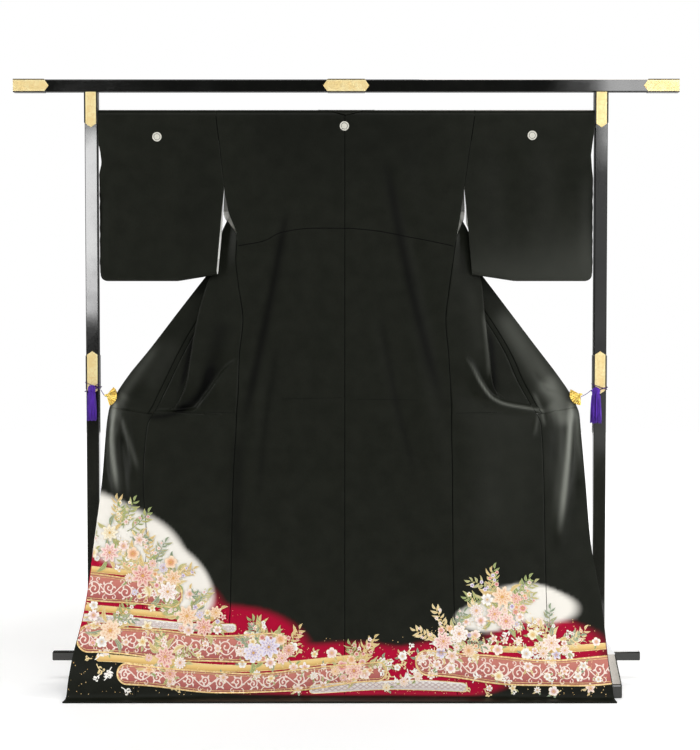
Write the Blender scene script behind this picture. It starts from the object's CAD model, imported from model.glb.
"""The looks of a formal black kimono hung on a lacquered stand, seen from its back.

Every cloth piece is a thin shell through the sections of its solid, made finer
and given its creases. Distances are in metres. X runs to the viewer's right, Z up,
and "forward" is the distance from the line of the posts towards the viewer.
"""
import math
import random
from collections import namedtuple
import bpy
import numpy as np
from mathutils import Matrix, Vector


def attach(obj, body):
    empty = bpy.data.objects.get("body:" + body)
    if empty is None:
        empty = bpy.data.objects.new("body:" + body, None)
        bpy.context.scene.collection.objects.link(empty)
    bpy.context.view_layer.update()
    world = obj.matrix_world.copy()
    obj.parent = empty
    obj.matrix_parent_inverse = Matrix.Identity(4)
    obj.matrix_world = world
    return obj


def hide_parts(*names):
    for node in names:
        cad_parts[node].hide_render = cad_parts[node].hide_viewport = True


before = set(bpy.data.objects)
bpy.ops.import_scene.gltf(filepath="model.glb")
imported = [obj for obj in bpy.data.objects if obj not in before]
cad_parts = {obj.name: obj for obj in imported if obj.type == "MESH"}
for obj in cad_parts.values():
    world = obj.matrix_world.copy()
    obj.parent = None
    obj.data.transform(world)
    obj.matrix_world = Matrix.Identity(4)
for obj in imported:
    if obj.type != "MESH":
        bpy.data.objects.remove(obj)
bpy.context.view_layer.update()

# Sizes shared with the solids
POST_Y = 0.0305
CLOTH, COLLAR_CLOTH, LINING_CLOTH, HEM_ROLL = 0.0016, 0.0017, 0.0010, 0.0045
POST_X, POST_SIDE, BAR_Z = 0.7095, 0.035, 1.671
ROD_Z, WRAP_RADIUS, COLLAR_WRAP = 1.587, 0.0166, 0.0170
PANEL_WIDTH = 0.255
CENTRE_X = -0.004
FOLD_RADIUS = 0.005
LAPEL_RISE, LAPEL_STEP, OKUMI_SLIVER = 0.018, 0.0024, 0.015
CLIP_Z, CLIP_RADIUS, CLIP_FORWARD = 0.806, 0.030, 0.0236
SIGN = {"left": -1, "right": 1}


def table(fields, rows):
    """Rows of values with named columns."""
    Row = namedtuple("Row", fields)
    return [Row(*row) for row in rows]


# Heights, distances across to both sides, and distances forward
ACROSS = table("z back_l back_r front_l front_r fold_l fold_r lapel_l lapel_r edge_l edge_r", [
    (1.587, 0.362, 0.357, 0.362, 0.357, 0.350, 0.345, 0.091, 0.091, 0.054, 0.050),
    (1.490, 0.351, 0.343, 0.351, 0.343, 0.345, 0.338, 0.096, 0.096, 0.129, 0.123),
    (1.390, 0.340, 0.329, 0.340, 0.329, 0.336, 0.326, 0.123, 0.120, 0.205, 0.198),
    (1.320, 0.327, 0.319, 0.343, 0.331, 0.348, 0.338, 0.182, 0.172, 0.259, 0.250),
    (1.250, 0.304, 0.307, 0.304, 0.307, 0.350, 0.345, 0.237, 0.229, 0.308, 0.300),
    (1.190, 0.307, 0.298, 0.307, 0.298, 0.354, 0.352, 0.284, 0.274, 0.356, 0.346),
    (1.120, 0.300, 0.288, 0.300, 0.288, 0.388, 0.378, 0.338, 0.329, 0.411, 0.400),
    (1.020, 0.287, 0.277, 0.287, 0.277, 0.416, 0.387, 0.417, 0.405, 0.488, 0.475),
    (0.920, 0.297, 0.285, 0.297, 0.285, 0.433, 0.399, 0.474, 0.464, 0.564, 0.550),
    (0.850, 0.299, 0.289, 0.299, 0.289, 0.444, 0.406, 0.507, 0.494, 0.619, 0.602),
    (0.800, 0.301, 0.291, 0.301, 0.291, 0.462, 0.426, 0.531, 0.521, 0.650, 0.634),
    (0.775, 0.303, 0.292, 0.303, 0.292, 0.476, 0.444, 0.543, 0.535, 0.661, 0.645),
    (0.760, 0.304, 0.292, 0.304, 0.292, 0.480, 0.448, 0.552, 0.545, 0.664, 0.650),
])
FORWARD = table("z centre back front fold inner lapel edge", [
    (1.587, 0.0166, 0.0166, -0.0166, -0.012, -0.016, -0.0166, -0.018),
    (1.490, 0.0180, 0.0170, -0.0104, -0.012, -0.018, -0.0180, -0.052),
    (1.390, 0.0215, 0.0210, -0.0027, -0.008, -0.018, -0.0220, -0.046),
    (1.320, 0.0245, 0.0235, -0.0030, -0.008, -0.016, -0.0250, -0.041),
    (1.250, 0.0280, 0.0265, 0.0265, -0.001, -0.013, -0.0250, -0.036),
    (1.190, 0.0310, 0.0290, 0.0290, 0.007, -0.008, -0.0230, -0.031),
    (1.120, 0.0350, 0.0320, 0.0320, 0.014, -0.002, -0.0170, -0.023),
    (1.020, 0.0420, 0.0380, 0.0380, 0.027, 0.009, -0.0060, -0.010),
    (0.920, 0.0500, 0.0470, 0.0470, 0.041, 0.023, 0.0080, 0.004),
    (0.850, 0.0560, 0.0540, 0.0540, 0.050, 0.034, 0.0230, 0.0195),
    (0.800, 0.0600, 0.0600, 0.0600, 0.055, 0.041, 0.0310, 0.0218),
    (0.775, 0.0620, 0.0620, 0.0620, 0.058, 0.048, 0.0375, 0.0245),
    (0.760, 0.0630, 0.0640, 0.0640, 0.060, 0.050, 0.0415, 0.0270),
])
SKIRT = table("z seam_l seam_r okumi_l okumi_r edge_l edge_r centre_f seam_f okumi_f edge_f", [
    (0.760, 0.304, 0.292, 0.537, 0.530, 0.664, 0.650, 0.063, 0.064, 0.0415, 0.0270),
    (0.730, 0.305, 0.292, 0.553, 0.542, 0.668, 0.653, 0.066, 0.067, 0.050, 0.0335),
    (0.580, 0.313, 0.294, 0.563, 0.548, 0.678, 0.664, 0.080, 0.083, 0.075, 0.064),
    (0.410, 0.316, 0.294, 0.552, 0.549, 0.697, 0.676, 0.108, 0.111, 0.104, 0.096),
    (0.230, 0.318, 0.296, 0.558, 0.550, 0.718, 0.703, 0.150, 0.153, 0.151, 0.150),
    (0.095, 0.326, 0.300, 0.566, 0.553, 0.746, 0.713, 0.192, 0.196, 0.205, 0.211),
    (0.045, 0.330, 0.301, 0.568, 0.556, 0.752, 0.719, 0.209, 0.214, 0.230, 0.240),
    (0.010, 0.332, 0.301, 0.570, 0.558, 0.755, 0.722, 0.222, 0.227, 0.244, 0.253),
    (0.003, 0.333, 0.302, 0.571, 0.559, 0.757, 0.724, 0.234, 0.238, 0.252, 0.262),
    (0.003, 0.334, 0.302, 0.572, 0.560, 0.759, 0.725, 0.296, 0.296, 0.296, 0.296),
])
# The collar: places on its seam and its edge round half the neck, then down the lapel's roll.
NECK = table("seam_x angle edge_x edge_f edge_z", [
    (0.0000, 6, 0.000, -0.0190, 1.574),
    (0.0440, 51, 0.036, -0.0200, 1.566),
    (0.0790, 96, 0.066, -0.0260, 1.552),
    (0.0885, 142, 0.085, -0.0420, 1.537),
])
ROLL = table("seam_x seam_z seam_f edge_x edge_z edge_f", [
    (0.0897, 1.587, -0.0192, 0.098, 1.526, -0.048),
    (0.0935, 1.545, -0.0196, 0.112, 1.508, -0.054),
    (0.0960, 1.490, -0.0204, 0.146, 1.462, -0.056),
    (0.1060, 1.440, -0.0228, 0.170, 1.428, -0.052),
    (0.1230, 1.390, -0.0248, 0.196, 1.403, -0.0465),
])
SLEEVE_BOTTOM, SLEEVE_OUTER_X, SLEEVE_CORNER = 1.129, 0.687, 0.022
SLEEVE_INNER = {"left": (0.340, 0.361), "right": (0.329, 0.350)}
SLEEVE_INNER_BOTTOM, SLEEVE_RISE_END_X = 1.147, 0.468
SLEEVE_LEAN_INNER, SLEEVE_LEAN_OUTER = 0.033, 0.010
SLEEVE_HALF_BOTTOM, SLEEVE_SEAM_HALF = 0.006, 0.0018
SLEEVE_CUFF_TOP, SLEEVE_CUFF_END, SLEEVE_TURN = 1.45, 1.33, 0.010
ARMHOLE_END = 1.39
# How far the inner edge's front layer shows, and the share of it drawn back below the armhole.
FURI_SHOWS, FURI_HIDDEN = 0.004, {"left": 0.0, "right": 1.35}
# How far the cuff's edge stands back from the post, by height.
CUFF_GAPS = {"left": [(1.140, 0.0012), (1.160, 0.0029), (1.405, 0.0027), (1.427, 0.0022), (1.440, 0.0055),
                      (1.456, 0.0095), (1.490, 0.0056), (1.508, 0.0016), (1.530, 0.0)],
             "right": [(1.140, 0.0012), (1.165, 0.0029), (1.390, 0.0027), (1.412, 0.0022), (1.440, 0.0062),
                       (1.479, 0.0092), (1.515, 0.0046), (1.540, 0.0016), (1.560, 0.0)]}

# Fineness of the visible cloth
FINE = 6
TOP_STEP, FOLD_STEP, SKIRT_STEP = 0.008, 0.004, 0.008
FOLD_ZONE = (0.735, 0.930)
PANEL_COLUMNS, COLLAR_COLUMNS = 12 * FINE + 1, 21
SEAM_TURN, SEAM_TURN_WIDTH = 0.00022, 0.0026
GATHERED_BELOW, FOLDS_BELOW = 1.05, 1.20
LINING_DEPTH, LINE_LIFT = CLOTH / 2 + LINING_CLOTH / 2 + 0.0010, CLOTH / 2 + 0.0003
FAR_UP = 2.0

# Where the pocket under the side fold has its lip, as distance across and height.
LIP = {
    "left": [(0.290, 0.920), (0.336, 0.879), (0.392, 0.804), (0.428, 0.7665), (0.467, 0.7627),
             (0.540, 0.7620)],
    "right": [(0.300, 0.950), (0.346, 0.896), (0.375, 0.843), (0.407, 0.804), (0.439, 0.788), (0.513, 0.774),
              (0.545, 0.768)],
}
LIP_STRENGTH = {"left": [(0.300, 0.0), (0.345, 1.0), (0.450, 1.0), (0.505, 0.4), (0.545, 0.0)],
                "right": [(0.330, 0.0), (0.374, 1.0), (0.500, 1.0), (0.538, 0.7), (0.560, 0.0)]}
LIP_RIDGE = {"left": 0.0045, "right": 0.0080}
LIP_POCKET = {"left": 0.0130, "right": 0.0080}
LIP_DROP, LIP_BELOW, LIP_ABOVE, LIP_TOP = 0.010, 0.022, 0.035, 0.95

# Creases: a curve through three places, its width, and its height, negative for a
# trough. Each lies on the named stretch of cloth.
CREASES = table("on x0 z0 x1 z1 x2 z2 width height", [
    ("main", -0.126, 1.52, -0.204, 1.104, -0.3, 0.74, 0.024, -0.003),
    ("main", -0.293, 0.83, -0.312, 0.64, -0.32, 0.42, 0.026, -0.0024),
    ("main", -0.175, 1.0, -0.212, 0.8, -0.27, 0.49, 0.026, -0.0022),
    ("main", -0.24, 0.96, -0.262, 0.76, -0.292, 0.54, 0.026, 0.0025),
    ("main", -0.12, 1.33, -0.15, 1.12, -0.165, 0.93, 0.034, 0.0025),
    ("main", 0.094, 1.52, 0.205, 1.159, 0.292, 0.72, 0.024, -0.003),
    ("main", 0.08, 1.1, 0.15, 0.8, 0.212, 0.52, 0.026, -0.0024),
    ("main", 0.15, 1.08, 0.215, 0.8, 0.255, 0.56, 0.03, 0.0025),
    ("main", 0.285, 0.8, 0.3, 0.62, 0.298, 0.42, 0.026, -0.002),
    ("main", -0.06, 0.98, -0.09, 0.76, -0.11, 0.52, 0.03, -0.0019),
    ("main", 0.03, 0.82, 0.045, 0.64, 0.05, 0.46, 0.034, -0.0015),
    ("main", -0.205, 1.56, -0.215, 1.43, -0.225, 1.3, 0.036, -0.0022),
    ("main", 0.215, 1.56, 0.215, 1.43, 0.222, 1.3, 0.036, -0.0022),
    ("main", -0.44, 0.7, -0.43, 0.52, -0.45, 0.3, 0.04, -0.0022),
    ("main", 0.43, 0.74, 0.42, 0.56, 0.44, 0.33, 0.042, -0.0022),
    ("front", -0.63, 0.795, -0.6445, 0.735, -0.6515, 0.66, 0.012, 0.012),
    ("front", -0.65, 0.745, -0.6515, 0.64, -0.632, 0.5, 0.0095, 0.01),
    ("front", -0.622, 0.785, -0.606, 0.69, -0.574, 0.56, 0.0115, 0.0065),
    ("front", -0.632, 0.72, -0.624, 0.64, -0.606, 0.47, 0.013, -0.0085),
    ("front", 0.628, 0.8, 0.615, 0.72, 0.614, 0.62, 0.017, 0.013),
    ("front", 0.6145, 0.7, 0.608, 0.58, 0.586, 0.36, 0.014, 0.009),
    ("front", 0.592, 0.745, 0.586, 0.67, 0.576, 0.54, 0.019, -0.008),
    ("front", 0.64, 0.74, 0.64, 0.64, 0.634, 0.5, 0.013, -0.006),
    ("front", 0.532, 0.752, 0.527, 0.722, 0.526, 0.69, 0.005, 0.0022),
    ("front", 0.562, 0.772, 0.558, 0.75, 0.56, 0.725, 0.007, 0.003),
    ("front", 0.578, 0.768, 0.584, 0.745, 0.59, 0.72, 0.008, -0.0036),
    ("collar", 0.538, 0.85, 0.566, 0.818, 0.605, 0.812, 0.0075, -0.0034),
    ("collar", 0.52, 0.88, 0.544, 0.848, 0.575, 0.838, 0.007, -0.0028),
    ("collar", 0.505, 0.96, 0.545, 0.88, 0.59, 0.83, 0.016, 0.005),
    ("collar", -0.59, 0.9, -0.6, 0.85, -0.634, 0.8, 0.016, 0.005),
    ("collar", -0.54, 0.87, -0.56, 0.83, -0.6, 0.8, 0.012, -0.0026),
    ("sleeve", -0.455, 1.57, -0.47, 1.36, -0.462, 1.15, 0.05, -0.004),
    ("sleeve", -0.6, 1.5, -0.612, 1.33, -0.606, 1.15, 0.04, -0.0034),
    ("sleeve", 0.43, 1.56, 0.44, 1.36, 0.452, 1.15, 0.045, -0.0036),
    ("sleeve", 0.585, 1.56, 0.59, 1.36, 0.585, 1.15, 0.05, -0.004),
])

# Where the silk shines, or darkens where negative: a curve through three places, its width, and how much.
SHINES = table("on x0 z0 x1 z1 x2 z2 width height", [
    ("main", -0.159, 1.354, -0.217, 1.048, -0.297, 0.675, 0.0125, -0.75),
    ("main", -0.295, 0.73, -0.305, 0.524, -0.298, 0.294, 0.0195, -0.45),
    ("main", -0.187, 0.965, -0.22, 0.757, -0.247, 0.496, 0.011, -0.35),
    ("main", 0.105, 1.492, 0.174, 1.137, 0.279, 0.73, 0.014, -0.75),
    ("main", 0.091, 1.062, 0.138, 0.799, 0.204, 0.551, 0.011, -0.4),
    ("main", -0.337, 1.581, -0.003, 1.534, 0.33, 1.581, 0.125, -0.25),
    ("front", -0.342, 1.034, -0.364, 0.93, -0.4, 0.819, 0.022, -0.5),
    ("front", -0.364, 0.908, -0.411, 0.808, -0.486, 0.758, 0.0125, -1.0),
    ("front", -0.436, 0.78, -0.497, 0.755, -0.567, 0.747, 0.007, -0.8),
    ("front", -0.426, 0.992, -0.444, 0.903, -0.464, 0.814, 0.006, -1.0),
    ("front", 0.4, 0.997, 0.41, 0.903, 0.416, 0.797, 0.0083, -0.9),
    ("front", 0.38, 1.053, 0.392, 0.942, 0.399, 0.847, 0.005, 0.24),
    ("collar", 0.417, 1.059, 0.514, 0.914, 0.613, 0.775, 0.028, 0.27),
    ("front", 0.64, 0.79, 0.646, 0.69, 0.65, 0.56, 0.014, 0.14),
    ("front", -0.64, 0.79, -0.646, 0.68, -0.632, 0.52, 0.016, 0.135),
    ("collar", -0.56, 0.82, -0.52, 0.89, -0.47, 0.98, 0.03, 0.04),
    ("collar", 0.544, 0.864, 0.596, 0.791, 0.626, 0.725, 0.025, 0.42),
    ("front", 0.629, 0.808, 0.6155, 0.654, 0.587, 0.414, 0.0078, 1.0),
    ("front", 0.596, 0.783, 0.597, 0.654, 0.58, 0.441, 0.014, 0.22),
    ("front", 0.563, 0.791, 0.591, 0.758, 0.618, 0.72, 0.017, 0.3),
    ("front", 0.642, 0.775, 0.646, 0.698, 0.653, 0.615, 0.0056, 0.2),
    ("front", 0.535, 0.767, 0.529, 0.731, 0.52, 0.692, 0.0044, 0.16),
    ("front", 0.521, 0.825, 0.543, 0.769, 0.554, 0.72, 0.005, 0.3),
    ("front", -0.643, 0.819, -0.652, 0.692, -0.633, 0.53, 0.0056, 1.0),
    ("front", -0.615, 0.819, -0.637, 0.783, -0.653, 0.736, 0.014, 0.28),
    ("collar", -0.637, 0.791, -0.587, 0.864, -0.515, 0.969, 0.0125, 0.16),
    ("front", -0.634, 0.764, -0.605, 0.687, -0.573, 0.594, 0.0062, 0.2),
    ("sleeve", 0.261, 1.076, 0.54, 1.115, 0.818, 1.248, 0.105, 0.13),
    ("sleeve", -0.708, 1.12, -0.547, 1.118, -0.374, 1.126, 0.011, 0.09),
    ("sleeve", 0.356, 1.12, 0.54, 1.118, 0.707, 1.126, 0.011, 0.1),
    ("sleeve", -0.389, 1.575, -0.418, 1.354, -0.399, 1.159, 0.056, -0.15),
    ("front", 0.429, 0.825, 0.441, 0.659, 0.424, 0.36, 0.083, 0.035),
    ("front", 0.341, 1.131, 0.363, 0.992, 0.376, 0.853, 0.022, 0.03),
])
LIP_SHINE = {"left": 0.0, "right": 0.55}
LIP_SHINE_WIDTH = 0.0034

# How far each side fold is closed, by height.
CLOSED = {"left": [(0.760, 0.0), (0.772, 0.16), (0.800, 0.72), (0.850, 1.0), (1.250, 1.0), (1.320, 0.6),
                   (1.390, 0.2), (1.490, 0.0), (1.587, 0.0)],
          "right": [(0.760, 0.0), (0.795, 0.0), (0.830, 0.55), (0.870, 1.0), (1.250, 1.0), (1.320, 0.6),
                    (1.390, 0.2), (1.490, 0.0), (1.587, 0.0)]}


def one_side(columns, side):
    """The columns of one side, named without the side's letter."""
    return {name[:-2]: values for name, values in columns.items() if name.endswith("_" + side[0])}


def smooth(knots, values, at):
    """Smooth interpolation through rows of values that never overshoots them."""
    x, y = np.asarray(knots, float), np.asarray(values, float)
    tail = (1,) * (y.ndim - 1)
    step = np.diff(x)
    slope = np.diff(y, axis=0) / step.reshape(-1, *tail)
    tangent = np.empty_like(y)
    tangent[0], tangent[-1] = slope[0], slope[-1]
    if len(x) > 2:
        w1, w2 = ((2 * a + b).reshape(-1, *tail) for a, b in ((step[1:], step[:-1]), (step[:-1], step[1:])))
        before, after = slope[:-1], slope[1:]
        turning = before * after <= 0
        safe_before, safe_after = np.where(turning, 1, before), np.where(turning, 1, after)
        tangent[1:-1] = np.where(turning, 0, (w1 + w2) / (w1 / safe_before + w2 / safe_after))
    at = np.clip(np.atleast_1d(np.asarray(at, float)), x[0], x[-1])
    i = np.clip(np.searchsorted(x, at) - 1, 0, len(x) - 2)
    h = step[i].reshape(-1, *tail)
    t = ((at - x[i]) / step[i]).reshape(-1, *tail)
    return ((2 * t**3 - 3 * t**2 + 1) * y[i] + (t**3 - 2 * t**2 + t) * h * tangent[i]
            + (3 * t**2 - 2 * t**3) * y[i + 1] + (t**3 - t**2) * h * tangent[i + 1])


def ease(t):
    t = np.clip(t, 0, 1)
    return t * t * (3 - 2 * t)


def columns_by_height(rows, heights):
    """A table's columns at each height, as a dictionary of arrays."""
    rows = sorted(rows, key=lambda row: row.z)
    values = smooth([row.z for row in rows], rows, heights)
    return dict(zip(rows[0]._fields, values.T))


def upper_rows(heights):
    """The columns of both upper tables at each height."""
    return {**columns_by_height(ACROSS, heights), **columns_by_height(FORWARD, heights)}


def row_at(columns, i):
    return {name: values[i] for name, values in columns.items()}


def along_curves(curves, on, x, z, fade_in, fade_out):
    """The sum, at distances x and heights z, of soft bands along the curves on some stretches of cloth."""
    total = np.zeros_like(x)
    t = np.linspace(0, 1, 15)
    for curve in curves:
        if curve.on not in on:
            continue
        path = smooth([0, 0.5, 1], np.reshape(curve[1:7], (3, 2)), t)
        reach = 3 * curve.width
        low, high = path.min(axis=0) - reach, path.max(axis=0) + reach
        near = (x > low[0]) & (x < high[0]) & (z > low[1]) & (z < high[1])
        if not near.any():
            continue
        from_x, from_z = x[near][:, None] - path[:-1, 0], z[near][:, None] - path[:-1, 1]
        step = np.diff(path, axis=0)
        along = np.clip((from_x * step[:, 0] + from_z * step[:, 1]) / (step**2).sum(axis=1), 0, 1)
        distance = np.hypot(from_x - along * step[:, 0], from_z - along * step[:, 1])
        nearest = distance.argmin(axis=1)
        pick = np.arange(len(nearest))
        share = (nearest + along[pick, nearest]) / (len(t) - 1)
        fade = ease(share / fade_in) * ease((1 - share) / fade_out)
        total[near] += curve.height * fade * np.exp(-(distance[pick, nearest] / curve.width) ** 2)
    return total


def crease_relief(on, x, z):
    """How far the creases on one stretch of cloth lift it towards the viewer."""
    return along_curves(CREASES, (on,), x, z, 0.30, 0.40)


def silk_shine(on, points):
    """How much the silk shines, or darkens where negative, at a grid of points."""
    x, z = points[..., 0], points[..., 2]
    total = along_curves(SHINES, on, x, z, 0.20, 0.25)
    if "front" in on:
        for side, sign in SIGN.items():
            total += LIP_SHINE[side] * (sign * x > 0.30) * lip_strength(side, x) * np.exp(
                -(lip_distance(side, x, z) / LIP_SHINE_WIDTH) ** 2)
    return np.clip(total, -1, 1)


def lip_distance(side, x, z):
    """How far above the pocket's lip a place is, square to the lip."""
    away, probe = np.abs(x), 0.002
    height, beyond = (smooth(*np.transpose(LIP[side]), (away + more).ravel()).reshape(away.shape)
                      for more in (0, probe))
    return (z - height) / np.sqrt(1 + ((beyond - height) / probe) ** 2)


def lip_strength(side, x):
    return np.interp(np.abs(x), *np.transpose(LIP_STRENGTH[side]))


def lip_relief(side, x, z):
    """The raised lip of the pocket below the side fold, and the hollow above it."""
    d = lip_distance(side, x, z)
    ridge, pocket = LIP_RIDGE[side], LIP_POCKET[side]
    below = ridge * np.exp(-(np.minimum(d, 0) / LIP_BELOW) ** 2)
    drop = ease(d / LIP_DROP)
    above = ridge * (1 - drop) - pocket * drop * np.exp(-np.maximum(d - LIP_DROP, 0) / LIP_ABOVE)
    return lip_strength(side, x) * np.where(d < 0, below, above)


def near_lip(z):
    """One at the pocket's height, easing to nothing over the last of it."""
    return ease((LIP_TOP - z) / 0.05)


def polyline(first, *stretches):
    """Joins stretches that share their ends."""
    return np.vstack([first, *(stretch[1:] for stretch in stretches)])


def line(start, end, steps):
    t = np.linspace(0, 1, steps + 1)[:, None]
    return np.array(start) * (1 - t) + np.array(end) * t


def half_turn(centre, radius, start, end, steps):
    angle = np.radians(np.linspace(start, end, steps + 1))
    return np.array(centre) + radius * np.stack([np.cos(angle), np.sin(angle)], axis=1)


def okumi_seam(z, lapel):
    return lapel - np.interp(z, [0.76, 1.02, 1.25, 1.30], [OKUMI_SLIVER, OKUMI_SLIVER, 0.004, 0.0])


def front_section(side, z, row, closed):
    """A level section of an opened front: out to the fold, back behind itself, out to the lapel."""
    across = one_side(row, side)
    start_x, fold_x, lapel_x = across["front"], across["fold"], across["lapel"]
    start, end = (start_x, row["front"]), (okumi_seam(z, lapel_x), row["lapel"])
    back = max(0.012, (PANEL_WIDTH - (fold_x - start_x) + fold_x - end[0]) / 2)
    r = FOLD_RADIUS
    first = half_turn((fold_x - r, row["fold"]), r, 90, -90, 2 * FINE)
    second = half_turn((fold_x - back + r, row["inner"]), r, 90, 270, 2 * FINE)
    folded = polyline(line(start, first[0], 4 * FINE), first, line(first[-1], second[0], 2 * FINE),
                      second, line(second[-1], end, 2 * FINE))
    # Opened out, the same columns gather where the turn was, so that the two forms blend.
    turn_at = np.clip((fold_x - start_x) / (end[0] - start_x), 0.0, 0.86)
    marks = [0, turn_at, turn_at + 0.02, turn_at + 0.08, turn_at + 0.10, 1]
    share = np.interp(np.arange(PANEL_COLUMNS) / FINE, [0, 4, 6, 8, 10, 12], marks)
    if z > GATHERED_BELOW:
        share = np.linspace(0, 1, PANEL_COLUMNS)
    flat = np.array(start) * (1 - share[:, None]) + np.array(end) * share[:, None]
    slope = (end[1] - start[1]) / (end[0] - start[0])
    after = (row["edge"] - row["lapel"]) / (across["edge"] - lapel_x)
    if slope * after > 0:
        bow = (end[0] - start[0]) * (2 * slope * after / (slope + after) - slope)
        flat[:, 1] += (share**3 - share**2) * bow
    return folded * closed + flat * (1 - closed)


def heights_between(low, high):
    """Level rows of the upper cloth, closer together where the side fold ends."""
    stops = [low, max(low, min(high, FOLD_ZONE[1])), high]
    fine = np.linspace(stops[0], stops[1], max(2, round((stops[1] - stops[0]) / FOLD_STEP) + 1))
    coarse = np.linspace(stops[1], stops[2], round((stops[2] - stops[1]) / TOP_STEP) + 1)
    return np.concatenate([fine, coarse[1:]])


TOP_Z = heights_between(SKIRT[0].z, ROD_Z)
TOP_ROWS = upper_rows(TOP_Z)
SHOULDER = {side: one_side(ACROSS[0]._asdict(), side)["back"] for side in SIGN}

# The skirt is measured along the cloth, from the row at 0.760 down to the hem.
SKIRT_KNOTS = np.cumsum([0.0] + [math.dist((a.z, a.centre_f), (b.z, b.centre_f))
                                 for a, b in zip(SKIRT, SKIRT[1:])])
SKIRT_LENGTH = float(SKIRT_KNOTS[-1])


def skirt_columns(down):
    """The skirt table's columns at each distance down the cloth."""
    return dict(zip(SKIRT[0]._fields, smooth(SKIRT_KNOTS, SKIRT, down).T))


def three_point(x, xs, fs):
    """Smooth across three places, a row for each row of x."""
    return np.array([smooth(k, v, q) for q, k, v in zip(x, xs, fs)])


def back_forward(x, left, right, side_f, centre_f):
    """How far forward the back lies between its side edges, a row of x for each height."""
    centre = np.full_like(left, CENTRE_X)
    return three_point(x, np.stack([-left, centre, right], 1), np.stack([side_f, centre_f, side_f], 1))


def upper_back(x, rows):
    return back_forward(x, rows["back_l"], rows["back_r"], rows["back"], rows["centre"])


def skirt_forward(x, rows):
    """How far forward the skirt lies at signed distances x, a row of x for each row of the table."""
    back = back_forward(x, rows["seam_l"], rows["seam_r"], rows["seam_f"], rows["centre_f"])
    fs = np.stack([rows["seam_f"], rows["okumi_f"], rows["edge_f"]], 1)
    left, right = (three_point(sign * x, np.stack(list(one_side(rows, side).values()), 1), fs)
                   for side, sign in SIGN.items())
    return np.where(x < -rows["seam_l"][:, None], left, np.where(x > rows["seam_r"][:, None], right, back))


def shell_grid(x, forward, z):
    """Points at distances across, distances forward and heights."""
    return np.stack(np.broadcast_arrays(x, POST_Y - forward, z), axis=2)


def skirt_points(x, down, raised=0.0):
    """Points of the skirt's outer line at signed distances x and distances down the cloth."""
    rows = skirt_columns(down)
    z = np.repeat(rows["z"][:, None], x.shape[1], axis=1) + raised
    loose = ease((z - 0.010) / 0.05)
    forward = skirt_forward(x, rows) + loose * (crease_relief("main", x, z) + crease_relief("front", x, z))
    for side, sign in SIGN.items():
        forward = forward + ease((sign * x - 0.29) / 0.03) * lip_relief(side, x, z)
    return shell_grid(x, forward, z)


def between(start, end, t):
    """Places across, a row for each start and end, a column for each share t of the way."""
    return start[:, None] * (1 - t) + end[:, None] * t


def spaced(start, end, steps):
    """Columns across a panel, a little closer together beside its seams."""
    return between(start, end, np.concatenate([[0, 0.006, 0.016], np.linspace(0.03, 0.97, steps - 6),
                                               [0.984, 0.994, 1]]))


def turned_in(points, turn=(True, True)):
    """Turns a panel's two long edges away from the viewer, as a pressed seam does."""
    normal = np.cross(np.gradient(points, axis=0), np.gradient(points, axis=1))
    normal /= np.linalg.norm(normal, axis=2, keepdims=True) + 1e-12
    normal *= np.where(normal[..., 1:2] > 0, -1.0, 1.0)
    gap = np.linalg.norm(np.diff(points, axis=1), axis=2)
    from_start = np.concatenate([np.zeros((len(points), 1)), np.cumsum(gap, axis=1)], axis=1)
    drop = np.zeros_like(from_start)
    for wanted, distance in zip(turn, (from_start, from_start[:, -1:] - from_start)):
        if wanted:
            drop += SEAM_TURN * np.exp(-(distance / SEAM_TURN_WIDTH) ** 2)
    return points - normal * drop[..., None]


SKIRT_DOWN = np.concatenate([
    np.linspace(0, 0.030, 7)[:-1],
    np.linspace(0.030, SKIRT_LENGTH - 0.090, round((SKIRT_LENGTH - 0.120) / SKIRT_STEP))[:-1],
    np.linspace(SKIRT_LENGTH - 0.090, SKIRT_LENGTH, 20),
])


def back_panel(side):
    """Back rows from the hem up to the rod, side edge first."""
    def to_centre(edge):
        return SIGN[side] * spaced(edge, np.full_like(edge, SIGN[side] * CENTRE_X), PANEL_COLUMNS)

    low = skirt_points(to_centre(one_side(skirt_columns(SKIRT_DOWN), side)["seam"]), SKIRT_DOWN)[::-1]
    x = to_centre(one_side(TOP_ROWS, side)["back"])
    z = np.repeat(TOP_Z[:, None], PANEL_COLUMNS, axis=1)
    forward = upper_back(x, TOP_ROWS) + crease_relief("main", x, z) * ease((ROD_Z - z) / 0.06)
    return turned_in(np.vstack([low, shell_grid(x, forward, z)[1:]]))


def over_rod(side):
    """Rows of a body panel over the rod, from the back to the front, with the neck cut."""
    angles = np.arange(15, 180, 15)
    neck = smooth([0, 45, 90, 135, 180], [0.004, 0.045, 0.080, 0.090, 0.091], angles)
    x = SIGN[side] * spaced(np.full_like(neck, SHOULDER[side]), neck, PANEL_COLUMNS)
    turn = np.radians(angles)[:, None]
    return shell_grid(x, WRAP_RADIUS * np.cos(turn), ROD_Z + WRAP_RADIUS * np.sin(turn))


def front_panel(side):
    """Front rows from the rod down to the front hem, side edge first."""
    sign = SIGN[side]
    closed = smooth(*np.transpose(CLOSED[side]), TOP_Z)
    rows = []
    for i in reversed(range(len(TOP_Z))):
        section = front_section(side, TOP_Z[i], row_at(TOP_ROWS, i), closed[i])
        rows.append(np.insert(section * [sign, 1], 2, TOP_Z[i], axis=1))
    x, forward, z = np.moveaxis(rows, 2, 0)
    forward = forward + crease_relief("front", x, z) + lip_relief(side, x, z) * near_lip(z)
    high = shell_grid(x, forward + crease_relief("main", x, z) * ease((FOLDS_BELOW - z) / 0.08), z)
    skirt = one_side(skirt_columns(SKIRT_DOWN), side)
    across = between(skirt["seam"], skirt["okumi"], np.linspace(0, 1, PANEL_COLUMNS))
    return turned_in(np.vstack([high[:-1], skirt_points(sign * across, SKIRT_DOWN)]))


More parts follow.
